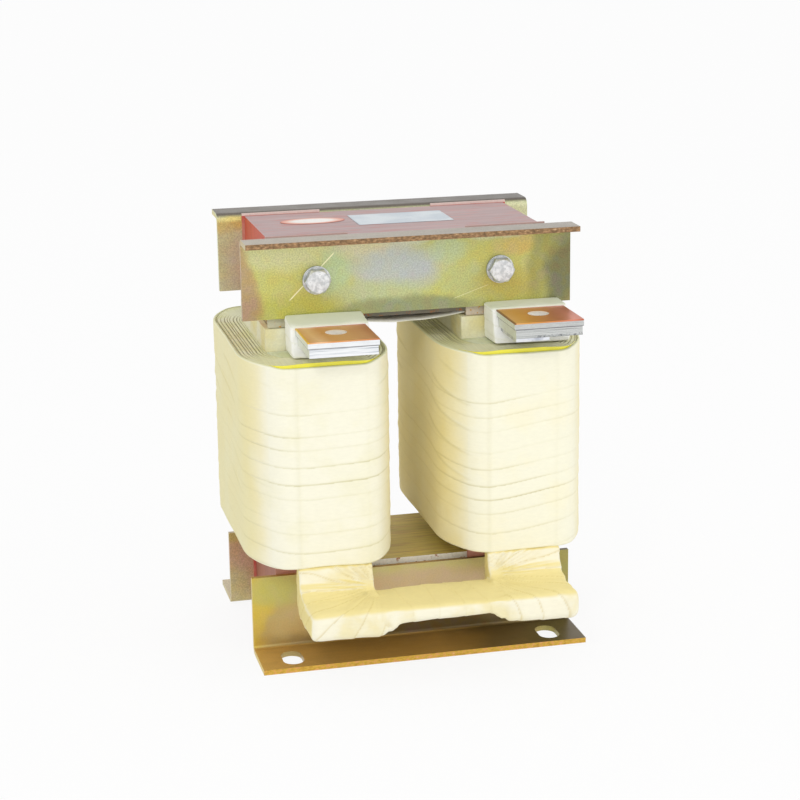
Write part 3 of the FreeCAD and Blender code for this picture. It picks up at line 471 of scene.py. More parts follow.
# Patches of the chromate, and of painted shadow where marked: middle and reach in X and Z, all in mm, then
# colour and strength
UPPER_FRONT_PATCHES = (
    (-68, 236, 32, 13, rgb(218, 216, 160), 0.9),
    (-68, 202, 36, 12, rgb(190, 188, 84), 0.9),
    (-97, 220, 8, 60, rgb(184, 148, 110), 0.9),
    (-94, 200, 10, 14, rgb(172, 134, 98), 0.7),
    (-42, 222, 11, 16, rgb(186, 208, 162), 0.8),
    (-24, 236, 26, 11, rgb(220, 210, 172), 0.9),
    (-8, 224, 30, 15, rgb(188, 193, 194), 0.9),
    (4, 217, 13, 9, rgb(182, 182, 200), 0.35),
    (-16, 208, 28, 9, rgb(190, 198, 152), 0.8),
    (0, 199, 46, 7, rgb(134, 140, 106), 0.85),
    (24, 230, 16, 8, rgb(186, 208, 180), 0.5),
    (36, 213, 22, 12, rgb(192, 197, 132), 0.9),
    (62, 232, 14, 8, rgb(222, 180, 104), 0.6),
    (50, 226, 8, 12, rgb(206, 196, 104), 0.6),
    (60, 209, 26, 10, rgb(196, 186, 96), 0.9),
    (80, 224, 11, 30, rgb(158, 152, 82), 0.85),
    (97, 220, 13, 44, rgb(104, 100, 70), 0.95),
    (20, 241, 56, 5, rgb(214, 216, 200), 0.7))
LOWER_FRONT_PATCHES = (
    (-95, 24, 12, 40, rgb(226, 196, 74), 0.95),
    (-82, 38, 18, 12, rgb(204, 196, 102), 0.8),
    (-66, 16, 16, 14, rgb(214, 184, 124), 0.6),
    (0, 45, 70, 6, rgb(212, 198, 130), 0.9),
    (0, 34, 70, 9, rgb(216, 186, 144), 0.85),
    # Painted shadow of the jumper on the web's lower part
    (2, 6, 84, 11, rgb(92, 68, 30), 0.95),
    (90, 26, 24, 50, rgb(168, 157, 86), 0.95))
UPPER_REAR_PATCHES = (
    (-88, 237, 24, 5, rgb(222, 200, 116), 0.9),
    (-92, 222, 10, 16, rgb(212, 218, 176), 0.8),
    (-80, 215, 16, 16, rgb(212, 214, 190), 0.8),
    (-84, 200, 20, 8, rgb(208, 204, 180), 0.8),
    (0, 220, 40, 20, rgb(192, 194, 176), 0.8),
    (60, 215, 30, 24, rgb(196, 192, 112), 0.8))
LOWER_REAR_PATCHES = (
    (-88, 30, 22, 30, rgb(204, 164, 136), 0.9),
    (-94, 46, 10, 8, rgb(196, 176, 96), 0.8),
    (-94, 10, 14, 14, rgb(196, 182, 130), 0.8),
    (0, 22, 40, 20, rgb(194, 188, 124), 0.8),
    (60, 25, 30, 24, rgb(200, 172, 124), 0.8))
BROWN_EDGE = ((0.30, rgb(112, 88, 62)), (0.50, rgb(146, 114, 80)), (0.62, rgb(176, 138, 98)),
              (0.74, rgb(214, 184, 146)))
GOLD_EDGE = ((0.30, rgb(196, 148, 54)), (0.50, rgb(220, 180, 70)), (0.64, rgb(228, 164, 96)),
             (0.78, rgb(240, 208, 138)))
# Scratches: start and end in X and Z, width and strength
LEFT_SCRATCH = ((-0.0417, 0.2335), (-0.0691, 0.2064), 0.45 * MM, 0.9)
RIGHT_SCRATCH = ((0.0471, 0.2094), (0.0255, 0.2023), 0.3 * MM, 0.4)
# Tops of the lower front flange, darker towards the right: a painted shadow of the jumper
LOWER_FRONT_TOPS = (rgb(214, 174, 100), rgb(196, 156, 84), rgb(184, 146, 78), rgb(190, 152, 84),
                    rgb(128, 104, 56), rgb(102, 88, 56))

zinc_clamp("upper_front_clamp", rgb(202, 199, 112), UPPER_FRONT_PATCHES, 4.0,
           (rgb(172, 162, 146), rgb(160, 152, 140)), BROWN_EDGE, (LEFT_SCRATCH, RIGHT_SCRATCH))
zinc_clamp("upper_rear_clamp", rgb(210, 212, 166), UPPER_REAR_PATCHES, 9.0,
           (rgb(106, 98, 88), rgb(98, 90, 81)))
zinc_clamp("lower_front_clamp", rgb(204, 178, 114), LOWER_FRONT_PATCHES, 14.0, LOWER_FRONT_TOPS, GOLD_EDGE,
           grain=(0.95, 1.04), hue_share=0.07)
zinc_clamp("lower_rear_clamp", rgb(206, 184, 124), LOWER_REAR_PATCHES, 21.0,
           (rgb(198, 182, 150), rgb(250, 226, 118), rgb(252, 228, 122), rgb(236, 210, 116)))

# Upper yoke: its pinkish grey top is the red paint with a painted sheen, and its dark grey front face is
# painted shade under the clamp
assign(lamination("core_upper", rgb(206, 88, 66), rgb(180, 156, 155), rgb(122, 116, 102), 2.0,
                  rgb(176, 164, 140)), "upper_yoke")
# Lower yoke: its near-white front face is painted light on a strip that lies in shade
assign(lamination("core_lower", rgb(176, 114, 94), rgb(220, 198, 112), rgb(248, 244, 234), 6.0), "lower_yoke")
assign(lamination("core_legs", rgb(176, 156, 116), rgb(176, 156, 116), rgb(196, 192, 172), 11.0),
       "left_leg", "right_leg")
assign(board("gap_board", rgb(190, 168, 116), rgb(170, 146, 92)), "lower_gap_spacers", "upper_gap_spacers")
assign(pads("front_board", rgb(206, 112, 100), rgb(196, 164, 158), rgb(208, 204, 178), rgb(214, 200, 182)),
       "upper_front_pads")
assign(pads("red_board", rgb(200, 92, 78), rgb(228, 204, 196)), "upper_rear_pads", "lower_rear_pads")
assign(pads("lower_board", rgb(206, 152, 136), rgb(214, 170, 160)), "lower_front_pads")
# Bolts and washers: the darker side tone is painted shade on the flanks
assign(metal("white_zinc", rgb(244, 246, 247), rgb(206, 210, 212), 0.3, 0.7, (1, 1, 1), 2600.0,
             rgb(164, 168, 170)),
       "upper_clamp_bolts", "lower_clamp_bolts", "front_washers", "rear_washers", "spring_washers",
       "clamp_nuts")
assign(board("sleeve_resin", rgb(190, 172, 110), rgb(176, 156, 92), 60.0, 0.45), "bolt_sleeves")
assign(board("former_board", rgb(244, 242, 216), rgb(236, 226, 168), 45.0),
       "left_coil_former", "right_coil_former")
assign(board("filler_board_green", rgb(226, 230, 204), rgb(212, 216, 172), 60.0),
       "left_coil_fillers", "right_coil_fillers")
assign(edge_film(), "left_edge_film", "right_edge_film")
assign(metal("cut_aluminium", rgb(232, 235, 240), rgb(186, 192, 202), 0.34),
       "left_finish_lead", "right_finish_lead", "right_backing_strip", "jumper_bar")

# The bright band near the left of the warm copper is a painted highlight
WARM_COPPER = ((0.0, rgb(218, 154, 96)), (0.14, rgb(240, 192, 146)), (0.30, rgb(218, 148, 88)),
               (0.65, rgb(214, 152, 98)), (0.86, rgb(206, 136, 86)), (1.0, rgb(190, 112, 68)))
RED_COPPER = ((0.0, rgb(220, 168, 106)), (0.22, rgb(214, 154, 76)), (0.45, rgb(208, 138, 74)),
              (0.68, rgb(206, 128, 86)), (0.86, rgb(216, 132, 106)), (1.0, rgb(192, 106, 78)))


def terminal_finishes(side, tones, rim, light, dark):
    low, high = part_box(f"{side}_copper_facing")
    hole = ((low.x + high.x) / 2, low.y + HOLE_FROM_FRONT)
    lead_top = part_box(f"{side}_start_lead")[1].z
    burr = (lead_top - LEAD_THICKNESS, hole[0] - 12 * MM) if side == "right" else None
    assign(terminal_metal(f"{side}_terminal_metal", hole, lead_top, burr, light, dark),
           f"{side}_start_lead", f"{side}_terminal_plate")
    assign(copper_face(f"{side}_copper", hole, low.x, high.x - low.x, tones, rim), f"{side}_copper_facing")


terminal_finishes("left", WARM_COPPER, rgb(244, 196, 60), rgb(246, 248, 250), rgb(164, 172, 182))
terminal_finishes("right", RED_COPPER, rgb(150, 96, 48), rgb(204, 206, 204), rgb(92, 96, 100))

WINDING_FINISH = wound_layers()
# The turned and top tones are painted shading; the right coil's bright turned tone is painted light on its
# shaded inner side
LEFT_TAPE = tape("left_coil_tape_finish", rgb(250, 247, 226), rgb(240, 235, 194), rgb(228, 228, 186),
                 rgb(200, 192, 128), 0.4)
RIGHT_TAPE = tape("right_coil_tape_finish", rgb(250, 247, 224), rgb(254, 245, 204), rgb(228, 228, 186),
                  rgb(196, 184, 120), 0.55)
LEAD_TAPE = tape("lead_tape_finish", rgb(254, 254, 252), rgb(253, 253, 246), rgb(226, 230, 208),
                 rgb(226, 226, 204))
JUMPER_TAPE = tape("jumper_tape_finish", rgb(251, 246, 222), rgb(240, 224, 154), rgb(244, 228, 160),
                   rgb(212, 188, 104), 0.0, 0.55, 0.7)


# Meshes

def to_object(name, data):
    made = bpy.data.objects.new(name, data)
    bpy.context.scene.collection.objects.link(made)
    return made


def add_piece(name, mesh, material, slot, *replaced):
    piece = to_object(name, mesh)
    mesh.materials.clear()
    mesh.materials.append(material)
    for polygon in mesh.polygons:
        polygon.use_smooth = True
    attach(piece, "root")
    if replaced:
        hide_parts(*replaced)


def carry(mesh, name, values):
    """Keeps a number at each point of a mesh for its material."""
    mesh.attributes.new(name, "FLOAT", "POINT").data.foreach_set("value", values)


def to_data(mesh, name):
    data = bpy.data.meshes.new(name)
    mesh.to_mesh(data)
    mesh.free()
    return data


def face_outward(mesh):
    bmesh.ops.recalc_face_normals(mesh, faces=mesh.faces)


def add_rings(mesh, rings):
    return [[mesh.verts.new(point) for point in ring] for ring in rings]


def join_rings(mesh, rings):
    """Adds the faces between each ring of vertices and the next."""
    for ring, after in zip(rings, rings[1:]):
        for index in range(len(ring)):
            turn = (index + 1) % len(ring)
            mesh.faces.new((ring[index], ring[turn], after[turn], after[index]))


def band_data(name, rings):
    """A closed mesh from rings of points: each ring joins the next, and the last the first."""
    mesh = bmesh.new()
    made = add_rings(mesh, rings)
    join_rings(mesh, made + made[:1])
    face_outward(mesh)
    return to_data(mesh, name)


def smooth_step(value, low, high):
    share = min(max((value - low) / (high - low), 0.0), 1.0)
    return share * share * (3 - 2 * share)


def bell(value, width):
    """1 at zero, and next to nothing two widths away."""
    return math.exp(-(value / width) ** 2)


def wave(x, y, z, seed=0.0):
    return noise.noise(Vector((x + seed, y - seed, z + 0.5 * seed)))


def ripple(place, across, up, seed):
    """Smooth noise over the object, with so many waves a metre across and up."""
    return wave(place.x * across, place.y * across, place.z * up, seed)


def coil_corner(half_width, half_depth, corner, steps):
    """One corner of a coil in plan, from its side to its end: places and outward directions."""
    across, along, tight = corner
    broad = (across ** 2 + (along - tight) ** 2 - tight ** 2) / (2 * (across - tight))
    meeting = math.atan2(along - tight, broad - across)
    wide_middle = Vector((half_width - broad, half_depth - along))
    tight_middle = Vector((half_width - across, half_depth - tight))
    quarter = []
    for step in range(steps + 1):
        angle = math.pi / 2 * step / steps
        out = Vector((math.cos(angle), math.sin(angle)))
        middle, radius = (wide_middle, broad) if angle < meeting else (tight_middle, tight)
        quarter.append((middle + out * radius, out))
    return quarter


def coil_outline(half_width, half_depth, corner, corner_steps, side_steps, end_steps):
    """Places round a coil in plan with the outward direction at each, going left round."""
    quarter = coil_corner(half_width, half_depth, corner, corner_steps)
    loop = []
    for side_x, side_y in ((1, 1), (-1, 1), (-1, -1), (1, -1)):
        signs = Vector((side_x, side_y))
        straight = end_steps if side_x == side_y else side_steps
        turned = [(place * signs, out * signs) for place, out in quarter[::side_x * side_y]]
        loop += turned
        last, out = turned[-1]
        mirror = Vector((-last.x, last.y)) if abs(out.y) > 0.5 else Vector((last.x, -last.y))
        loop += [(last.lerp(mirror, step / straight), out) for step in range(1, straight)]
    return loop


# Steps round a coil: at a corner, along a side and along an end
TAPE_STEPS = (44, 54, 40)
LAYER_STEPS = (26, 60, 36)
TAPE_ROWS = 250
RIM_RADIUS = 1.1 * MM
RIM_STEPS = 4
TURN_PITCH = 10.6 * MM
TURN_STEP = 0.42 * MM
TURN_GROOVE = 0.22 * MM
SMOOTH_TOP = 22.0 * MM
FILM_REACH = 34.0 * MM
FILM_SHOWS = 1.25 * MM
SLANT_PITCH = 15.0 * MM
# How the tape's turns wander, sag away from the lead and fall towards the back, and how wide their edges are
TURN_DRIFT = 3.4 * MM
TURN_SAG = 0.10
TURN_SAG_LIMIT = 5.0 * MM
TURN_BACK_SLOPE = 0.07
TURN_EDGE = 0.85 * MM
LEAD_RIDGE = 1.3 * MM
PLEAT_WIDTH = 0.8 * MM
PLEAT_DEPTH = 0.3 * MM


def turn_edges(base, top, seed):
    """Heights of the visible tape edges, with the strength of each."""
    draw = random.Random(seed)
    edges, height = [(base - 3 * TURN_PITCH, 0.0)], base - TURN_PITCH * 0.3
    while height < top - SMOOTH_TOP:
        edges.append((height, draw.uniform(0.45, 1.0)))
        height += TURN_PITCH * draw.uniform(0.62, 1.3)
    return edges + [(top + 3 * TURN_PITCH, 0.0)]


def tape_relief(place, out, height, edges, crease, seed):
    """How far the tape stands out at one place, and how deep in a fold that place is."""
    spot = Vector((place.x, place.y, height))
    drift = ripple(spot, 18, 9, seed) * TURN_DRIFT
    flat_side = smooth_step(abs(out.x), 0.86, 1.0)
    sag = min(TURN_SAG * math.hypot(place.x - crease + LEAD_WIDTH / 2, 12 * MM), TURN_SAG_LIMIT)
    level = height + drift - sag - TURN_BACK_SLOPE * max(place.y + 48 * MM, 0.0)
    patchy = 0.1 + 0.9 * smooth_step(ripple(spot, 14, 45, seed), -0.3, 0.35)
    relief = fold = 0.0
    for (low, strength), (high, _) in zip(edges, edges[1:]):
        if low <= level < high:
            rise = smooth_step(level, low, low + 0.7 * MM)
            relief += TURN_STEP * strength * rise * (1.0 - (level - low) / (high - low))
            fold = bell(level - low, TURN_EDGE) * patchy * strength
            relief -= TURN_GROOVE * fold
    front = smooth_step(-out.y, 0.9, 0.995)
    for side, strength in ((-1, 0.35), (1, 0.15)):
        ridge = bell(place.x - crease - side * (LEAD_WIDTH / 2 + 0.8 * MM), LEAD_RIDGE) * front
        relief += strength * MM * ridge
        fold += 0.5 * strength * ridge
    inside = 1.0 - smooth_step(abs(place.x - crease), LEAD_WIDTH / 2, LEAD_WIDTH / 2 + 7 * MM)
    relief += 0.3 * MM * inside * front
    slant = (height - 0.2 * place.y + 1.5 * drift) % SLANT_PITCH
    shown = smooth_step(wave(place.x * 9, place.y * 16, height * 20, seed + 9), 0.12, 0.4)
    pleat = bell(slant - 2 * MM, PLEAT_WIDTH) * shown * smooth_step(abs(out.x), 0.6, 0.95)
    relief += PLEAT_DEPTH * pleat
    fold = max(fold * (1.0 - 0.3 * flat_side), pleat * 0.55)
    relief += ripple(spot, 60, 105, seed) * 0.14 * MM + ripple(spot, 15, 22, seed) * 0.5 * MM
    return relief, fold


def rim_lift(place, out, top, seed):
    """The tape's rim is uneven, and dips in front where the edging film shows."""
    uneven = wave(place.x * 40, place.y * 40, 9.0 if top else 2.0, seed)
    if not top:
        bulge = smooth_step(wave(place.x * 18, place.y * 18, 5.0, seed), 0.05, 0.5)
        return uneven * 0.5 * MM + bulge * 0.4 * MM
    front = smooth_step(-out.y, 0.55, 0.9)
    dip = FILM_SHOWS * front * (1.0 - smooth_step(abs(place.x), FILM_REACH - 12 * MM, FILM_REACH))
    return uneven * 0.25 * MM - dip


def coil_tape(side, material, crease_shift, seed):
    """The taped skin of one coil, open above and below, with rolled rims."""
    low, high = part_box(f"{side}_coil_tape")
    centre = (low + high) / 2
    outline = coil_outline((high.x - low.x) / 2, (high.y - low.y) / 2, OUTER_CORNER, *TAPE_STEPS)
    edges = turn_edges(low.z, high.z, seed)
    inner_inset = TAPE_THICKNESS - 0.1 * MM
    curve = [step * math.pi / (2 * RIM_STEPS) for step in range(1, RIM_STEPS)]
    rim = [(RIM_RADIUS * (1 - math.cos(angle)), RIM_RADIUS * (1 - math.sin(angle))) for angle in curve]
    run = high.z - low.z - 2 * RIM_RADIUS
    section = [(low.z + drop, inset) for drop, inset in rim]
    section += [(low.z + RIM_RADIUS + run * row / TAPE_ROWS, 0.0) for row in range(TAPE_ROWS + 1)]
    section += [(high.z - drop, inset) for drop, inset in reversed(rim)]
    section += [(high.z, inner_inset), (low.z, inner_inset)]
    rings, folds = [], []
    for height, inset in section:
        ring = []
        share = (height - low.z) / (high.z - low.z)
        for place, out in outline:
            relief, fold = 0.0, 0.0
            if inset < inner_inset:
                relief, fold = tape_relief(place, out, height, edges, crease_shift, seed)
            moved = place - out * inset + out * max(relief, -0.5 * MM)
            lift = rim_lift(place, out, True, seed) * smooth_step(share, 0.97, 1.0)
            lift += rim_lift(place, out, False, seed) * smooth_step(1.0 - share, 0.97, 1.0)
            ring.append((centre.x + moved.x, centre.y + moved.y, height + lift))
            folds.append(fold)
        rings.append(ring)
    data = band_data(f"{side}_taped_coil", rings)
    carry(data, "fold", folds)
    add_piece(f"{side}_taped_coil", data, material, "coil_tape", f"{side}_coil_tape")


LAYER_COUNT = 8
LAYER_ROWS = 110
LAYER_DEPTH = 0.8 * MM
LAYER_VALLEY = 0.018
LAYER_FADE = (40.0 * MM, 64.0 * MM)


def layer_edges(side, seed):
    """The wound foil and paper, with the uneven edges of its layers on top and below."""
    low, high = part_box(f"{side}_winding")
    centre = (low + high) / 2
    half_width, half_depth = (high.x - low.x) / 2 - CLEARANCE, (high.y - low.y) / 2 - CLEARANCE
    outer_corner = tuple(value - TAPE_THICKNESS - 2 * CLEARANCE for value in OUTER_CORNER)
    outer = coil_outline(half_width, half_depth, outer_corner, *LAYER_STEPS)
    inner = coil_outline(INNER_HALF_WIDTH, INNER_HALF_DEPTH, INNER_CORNER, *LAYER_STEPS)
    draw = random.Random(seed)
    valleys = [((index + draw.uniform(0.25, 0.75)) / LAYER_COUNT, draw.uniform(0.55, 1.0))
               for index in range(LAYER_COUNT)]

    def depth(share, place):
        wander = wave(place.x * 12, place.y * 9, 3.0, seed) * 0.03
        fade = max(1.0 - smooth_step(abs(place.y), *LAYER_FADE), smooth_step(place.x, 14 * MM, 24 * MM))
        deepest = max(bell(share + wander - middle, LAYER_VALLEY * (0.7 + 0.5 * strength)) * strength
                      for middle, strength in valleys)
        return deepest * fade

    rings, dark = [], []
    for top, order in ((True, 1), (False, -1)):
        shares = [row / LAYER_ROWS for row in range(LAYER_ROWS + 1)][::order]
        for share in shares:
            ring = []
            for (far, _), (close, _) in zip(outer, inner):
                place = far.lerp(close, share)
                deep = depth(share, place)
                level = high.z if top else low.z
                uneven = wave(place.x * 300, place.y * 25, 1.0, seed) * 0.12 * MM - 0.12 * MM
                height = level + (uneven - LAYER_DEPTH * deep) * (1 if top else -1)
                ring.append((centre.x + place.x, centre.y + place.y, height))
                dark.append(deep)
            rings.append(ring)
    data = band_data(f"{side}_layer_edges", rings)
    carry(data, "valley", dark)
    add_piece(f"{side}_layer_edges", data, WINDING_FINISH, "winding", f"{side}_winding")


def soft_box(mesh, low, high, bevel):
    """A box with rounded edges, added to a mesh."""
    low, high = Vector(low), Vector(high)
    size = high - low
    place = Matrix.Translation((low + high) / 2) @ Matrix.Diagonal((size.x, size.y, size.z, 1.0))
    made = bmesh.ops.create_cube(mesh, size=1.0, matrix=place)
    if bevel > 0:
        corners = set(made["verts"])
        edges = [edge for edge in mesh.edges if edge.verts[0] in corners]
        bmesh.ops.bevel(mesh, geom=edges, offset=bevel, segments=4, profile=0.5, affect="EDGES")


def wedge(mesh, section, left, right):
    """A bar along X with a given outline in Y and Z, added to a mesh."""
    ends = add_rings(mesh, [[(x, y, z) for y, z in section] for x in (left, right)])
    mesh.faces.new(ends[0])
    mesh.faces.new(ends[1][::-1])
    join_rings(mesh, ends)
    face_outward(mesh)


def evaluated(holder):
    """A new mesh with the holder's modifiers applied."""
    graph = bpy.context.evaluated_depsgraph_get()
    graph.update()
    return bpy.data.meshes.new_from_object(holder.evaluated_get(graph))


def soft_skin(name, rough, hollows, voxel, smooth_steps, relief):
    """A rough form rounded into one wrapped skin, creased by relief, with the hollows cut out."""
    holder = to_object(name, rough)
    joined = holder.modifiers.new("joined", "REMESH")
    joined.mode = "VOXEL"
    joined.voxel_size = voxel
    rounded = holder.modifiers.new("rounded", "SMOOTH")
    rounded.factor = 0.5
    rounded.iterations = smooth_steps
    data = evaluated(holder)
    creases = [relief(vertex.co, vertex.normal) for vertex in data.vertices]
    moves = [vertex.normal * amount for vertex, (amount, _) in zip(data.vertices, creases)]
    carry(data, "fold", [fold for _, fold in creases])
    for vertex, move in zip(data.vertices, moves):
        vertex.co += move
    holder.modifiers.clear()
    holder.data = data
    cutters = []
    for index, (low, high) in enumerate(hollows):
        cutter_mesh = bmesh.new()
        soft_box(cutter_mesh, low, high, 0.0)
        cutter = to_object(f"{name}_hollow{index}", to_data(cutter_mesh, f"{name}_hollow{index}"))
        cutters.append(cutter)
        cut = holder.modifiers.new(f"cut{index}", "BOOLEAN")
        cut.operation = "DIFFERENCE"
        cut.solver = "EXACT"
        cut.object = cutter
    data = evaluated(holder)
    for spare in cutters + [holder]:
        bpy.data.objects.remove(spare)
    data.name = name
    return data


WRAP_PITCH = 6.5 * MM
WRAP_PUFF = 0.6 * MM
WRAP_VOXEL = 0.6 * MM
WRAP_SMOOTHING = 34


def lead_wrap(side, seed):
    """The taped sleeve round a terminal's lead, its top sloping up to the clamp."""
    low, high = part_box(f"{side}_lead_wrap")
    lead_low, lead_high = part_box(f"{side}_start_lead")
    plate_low, plate_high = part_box(f"{side}_terminal_plate")
    copper_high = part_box(f"{side}_copper_facing")[1]
    lead_back = plate_high.y
    layer_back = lead_back - PLATE_THICKNESS
    lead_front = layer_back - LEAD_THICKNESS
    foot_base = lead_high.z - LEAD_THICKNESS
    brow = copper_high.y - 1.0 * MM
    gap = 0.05 * MM
    section = [(low.y, low.z), (high.y, low.z), (high.y, high.z + 0.4 * MM),
               (brow, copper_high.z + 1.3 * MM), (brow - 1.2 * MM, copper_high.z - 1.0 * MM)]
    rough = bmesh.new()
    wedge(rough, section, low.x - WRAP_PUFF, high.x + WRAP_PUFF)
    below, ahead = low.z - 5 * MM, low.y - 8 * MM
    lead_side, plate_side = (lead_low.x - gap, lead_high.x + gap), (plate_low.x - gap, plate_high.x + gap)
    spans = ((lead_side, (lead_front - gap, layer_back), (below, copper_high.z)),
             (plate_side, (layer_back, lead_back + gap), (below, copper_high.z)),
             (lead_side, (lead_front - BEND_RADIUS, lead_front), (foot_base - BEND_RADIUS, foot_base)),
             (lead_side, (ahead, layer_back), (foot_base - gap, lead_high.z)),
             (plate_side, (ahead, layer_back), (lead_high.z, copper_high.z + gap)))
    hollows = [tuple(Vector(corner) for corner in zip(*span)) for span in spans]

    def relief(place, out):
        turn = place.z + 0.25 * place.x + ripple(place, 30, 20, seed) * 2.5 * MM
        share = turn / WRAP_PITCH % 1.0
        on_side = 1.0 - smooth_step(out.z, 0.35, 0.7)
        edge = bell(share * WRAP_PITCH, 0.5 * MM) * on_side
        amount = 0.3 * MM * (1.0 - share) * on_side - 0.2 * MM * edge
        amount += ripple(place, 60, 110, seed) * 0.3 * MM + ripple(place, 22, 25, seed) * 0.8 * MM
        return amount, edge * 0.7

    data = soft_skin(f"{side}_taped_lead", to_data(rough, f"{side}_rough"), hollows,
                     WRAP_VOXEL, WRAP_SMOOTHING, relief)
    add_piece(f"{side}_taped_lead", data, LEAD_TAPE, "lead_tape", f"{side}_lead_wrap")


JUMPER_STRIP = 14.0 * MM
JUMPER_SKIN = 1.9 * MM
RISER_SKIN = 2.4 * MM
JOINT_STEPS = 3
JOINT_RUN = 2.6 * MM
FAN_PLEATS = 9.0
FAN_STRIPS = 3.4
JUMPER_PUFF = 0.6 * MM
JUMPER_VOXEL = 0.75 * MM
JUMPER_SMOOTHING = 18


def jumper_tape():
    """The taped jumper: a riser and a thick joint at each end and a thinner bar between them."""
    low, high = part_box("jumper_wrap")
    bar_low, bar_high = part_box("jumper_bar")
    bar_top = bar_high.z + JUMPER_SKIN
    front = low.y - 1.2 * MM
    rough = bmesh.new()
    soft_box(rough, (low.x + 3 * MM, front + 0.5 * MM, bar_low.z - JUMPER_SKIN),
             (high.x - 3 * MM, bar_high.y + JUMPER_SKIN, bar_top), 3.0 * MM)
    spare = Vector([CLEARANCE] * 3)
    hollows = [(bar_low - spare, bar_high + spare)]
    inner = {}
    for side, outward in (("left", -1), ("right", 1)):
        lead_low, lead_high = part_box(f"{side}_finish_lead")
        riser_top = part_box(f"{side}_coil_tape")[0].z + JUMPER_PUFF
        back = lead_high.y
        riser_front = back - LEAD_THICKNESS
        fold_line = riser_front - RISER_SKIN
        left, right = lead_low.x - RISER_SKIN, lead_high.x + RISER_SKIN
        soft_box(rough, (left, front, low.z - JUMPER_PUFF),
                 (right, back + JUMPER_SKIN, bar_top + JUMPER_PUFF), 4.0 * MM)
        soft_box(rough, (left, fold_line, low.z + 4 * MM), (right, back + JUMPER_SKIN, riser_top), 2.2 * MM)
        fillet = [(back, bar_top + 15 * MM), (riser_front - 2.2 * MM, bar_top + 15 * MM),
                  (riser_front - 3.6 * MM, bar_top + 7 * MM), (riser_front - 8 * MM, bar_top + 2.2 * MM),
                  (riser_front - 16 * MM, bar_top), (back, bar_top - 3 * MM)]
        wedge(rough, fillet, left, right)
        inner_end = right if outward < 0 else left
        for step in range(1, JOINT_STEPS + 1):
            near_x, far_x = sorted((inner_end, inner_end - outward * JOINT_RUN * step))
            base = bar_low.z - (bar_low.z - low.z) * (1.0 - step / (JOINT_STEPS + 1))
            soft_box(rough, (near_x, front + 0.5 * MM, base),
                     (far_x, bar_low.y + 10 * MM, bar_top), 1.0 * MM)
        hollows.append((lead_low - spare, Vector((lead_high.x, lead_high.y, bar_low.z)) + spare))
        hollows.append((Vector((lead_low.x, riser_front, lead_low.z)) - spare,
                        Vector((lead_high.x, back, riser_top + 5 * MM)) + spare))
        bend_top = lead_low.z + LEAD_THICKNESS + BEND_RADIUS
        hollows.append((Vector((lead_low.x - CLEARANCE, riser_front - BEND_RADIUS, lead_low.z)),
                        Vector((lead_high.x + CLEARANCE, riser_front, bend_top))))
        inner[outward] = lead_low.x if outward > 0 else lead_high.x

    def relief(place, out):
        outward = -1 if place.x < (inner[-1] + inner[1]) / 2 else 1
        across = (place.x - inner[outward]) * outward
        unrolled = (place.z - bar_top) + (place.y - fold_line)
        radius = math.hypot(across, unrolled)
        wobble = ripple(place, 28, 28, 4.0)
        amount = ripple(place, 30, 30, 1.0) * 1.2 * MM + ripple(place, 100, 100, 2.0) * 0.25 * MM
        fan = smooth_step(across, -9 * MM, 4 * MM)
        angle = math.atan2(unrolled, max(across, 0.0) + 3 * MM)
        share = (angle * FAN_STRIPS + wobble * 0.7) % 1.0
        edge = bell(share, 0.06)
        reach = smooth_step(radius, 1 * MM, 8 * MM)
        amount += fan * reach * (0.45 * MM * (1.0 - share) - 0.2 * MM * edge)
        ridged = 1.0 - min(1.0, abs(wave(angle * FAN_PLEATS, radius * 14, outward * 3.0)) * 3.4)
        pleat = ridged * ridged * bell(radius, 30 * MM)
        amount += fan * reach * pleat * 0.6 * MM
        fold = fan * reach * max(edge * 0.8, pleat * 0.55)
        share = (place.x + 0.16 * (place.y + place.z) + wobble * 5 * MM) / JUMPER_STRIP % 1.0
        edge = bell(share, 0.04)
        amount += (1.0 - fan) * (0.3 * MM * (1.0 - share) - 0.1 * MM * edge)
        return amount, max(fold, (1.0 - fan) * edge * 0.25)

    data = soft_skin("taped_jumper", to_data(rough, "jumper_rough"), hollows,
                     JUMPER_VOXEL, JUMPER_SMOOTHING, relief)
    add_piece("taped_jumper", data, JUMPER_TAPE, "jumper_tape", "jumper_wrap")


# Each coil with its tape, the middle of its crease in X and the seed of its unevenness
COILS = (("left", LEFT_TAPE, 3.5 * MM, 3), ("right", RIGHT_TAPE, -0.5 * MM, 8))
for coil_side, coil_finish, crease_x, number in COILS:
    coil_tape(coil_side, coil_finish, crease_x, number)
    layer_edges(coil_side, number + 40)
    lead_wrap(coil_side, number + 20)
jumper_tape()


# Thin sheets: the bare label and bare oval on the core, and the one that sags into the window

STICKER_THICKNESS = 0.16 * MM
STICKER_GAP = 0.1 * MM
STICKER_GRID = (36, 24)
OVAL_CENTRE = (-44.0 * MM, 10.0 * MM)
OVAL_HALF = (19.0 * MM, 9.5 * MM)
LABEL_CENTRE = (7.0 * MM, 5.0 * MM)
LABEL_HALF = (28.0 * MM, 17.0 * MM)
SAG_HALF = 33.6 * MM
SAG_DROP = 3.3 * MM
SAG_THICKNESS = 0.5 * MM
SAG_GRID = (40, 10)


def thin_sheet(name, grid, thickness, underside, material, slot):
    """A sheet of even thickness; underside gives its place for -1 to 1 across and along."""
    columns, rows = grid
    rings = []
    for row in range(rows + 1):
        line = [underside(column / columns * 2 - 1, row / rows * 2 - 1) for column in range(columns + 1)]
        rings.append([(x, y, z + thickness) for x, y, z in line] + line[::-1])
    mesh = bmesh.new()
    made = add_rings(mesh, rings)
    join_rings(mesh, made)
    for ring in (made[0], made[-1]):
        for column in range(columns):
            mesh.faces.new((ring[column], ring[column + 1], ring[-2 - column], ring[-1 - column]))
    face_outward(mesh)
    add_piece(name, to_data(mesh, name), material, slot)


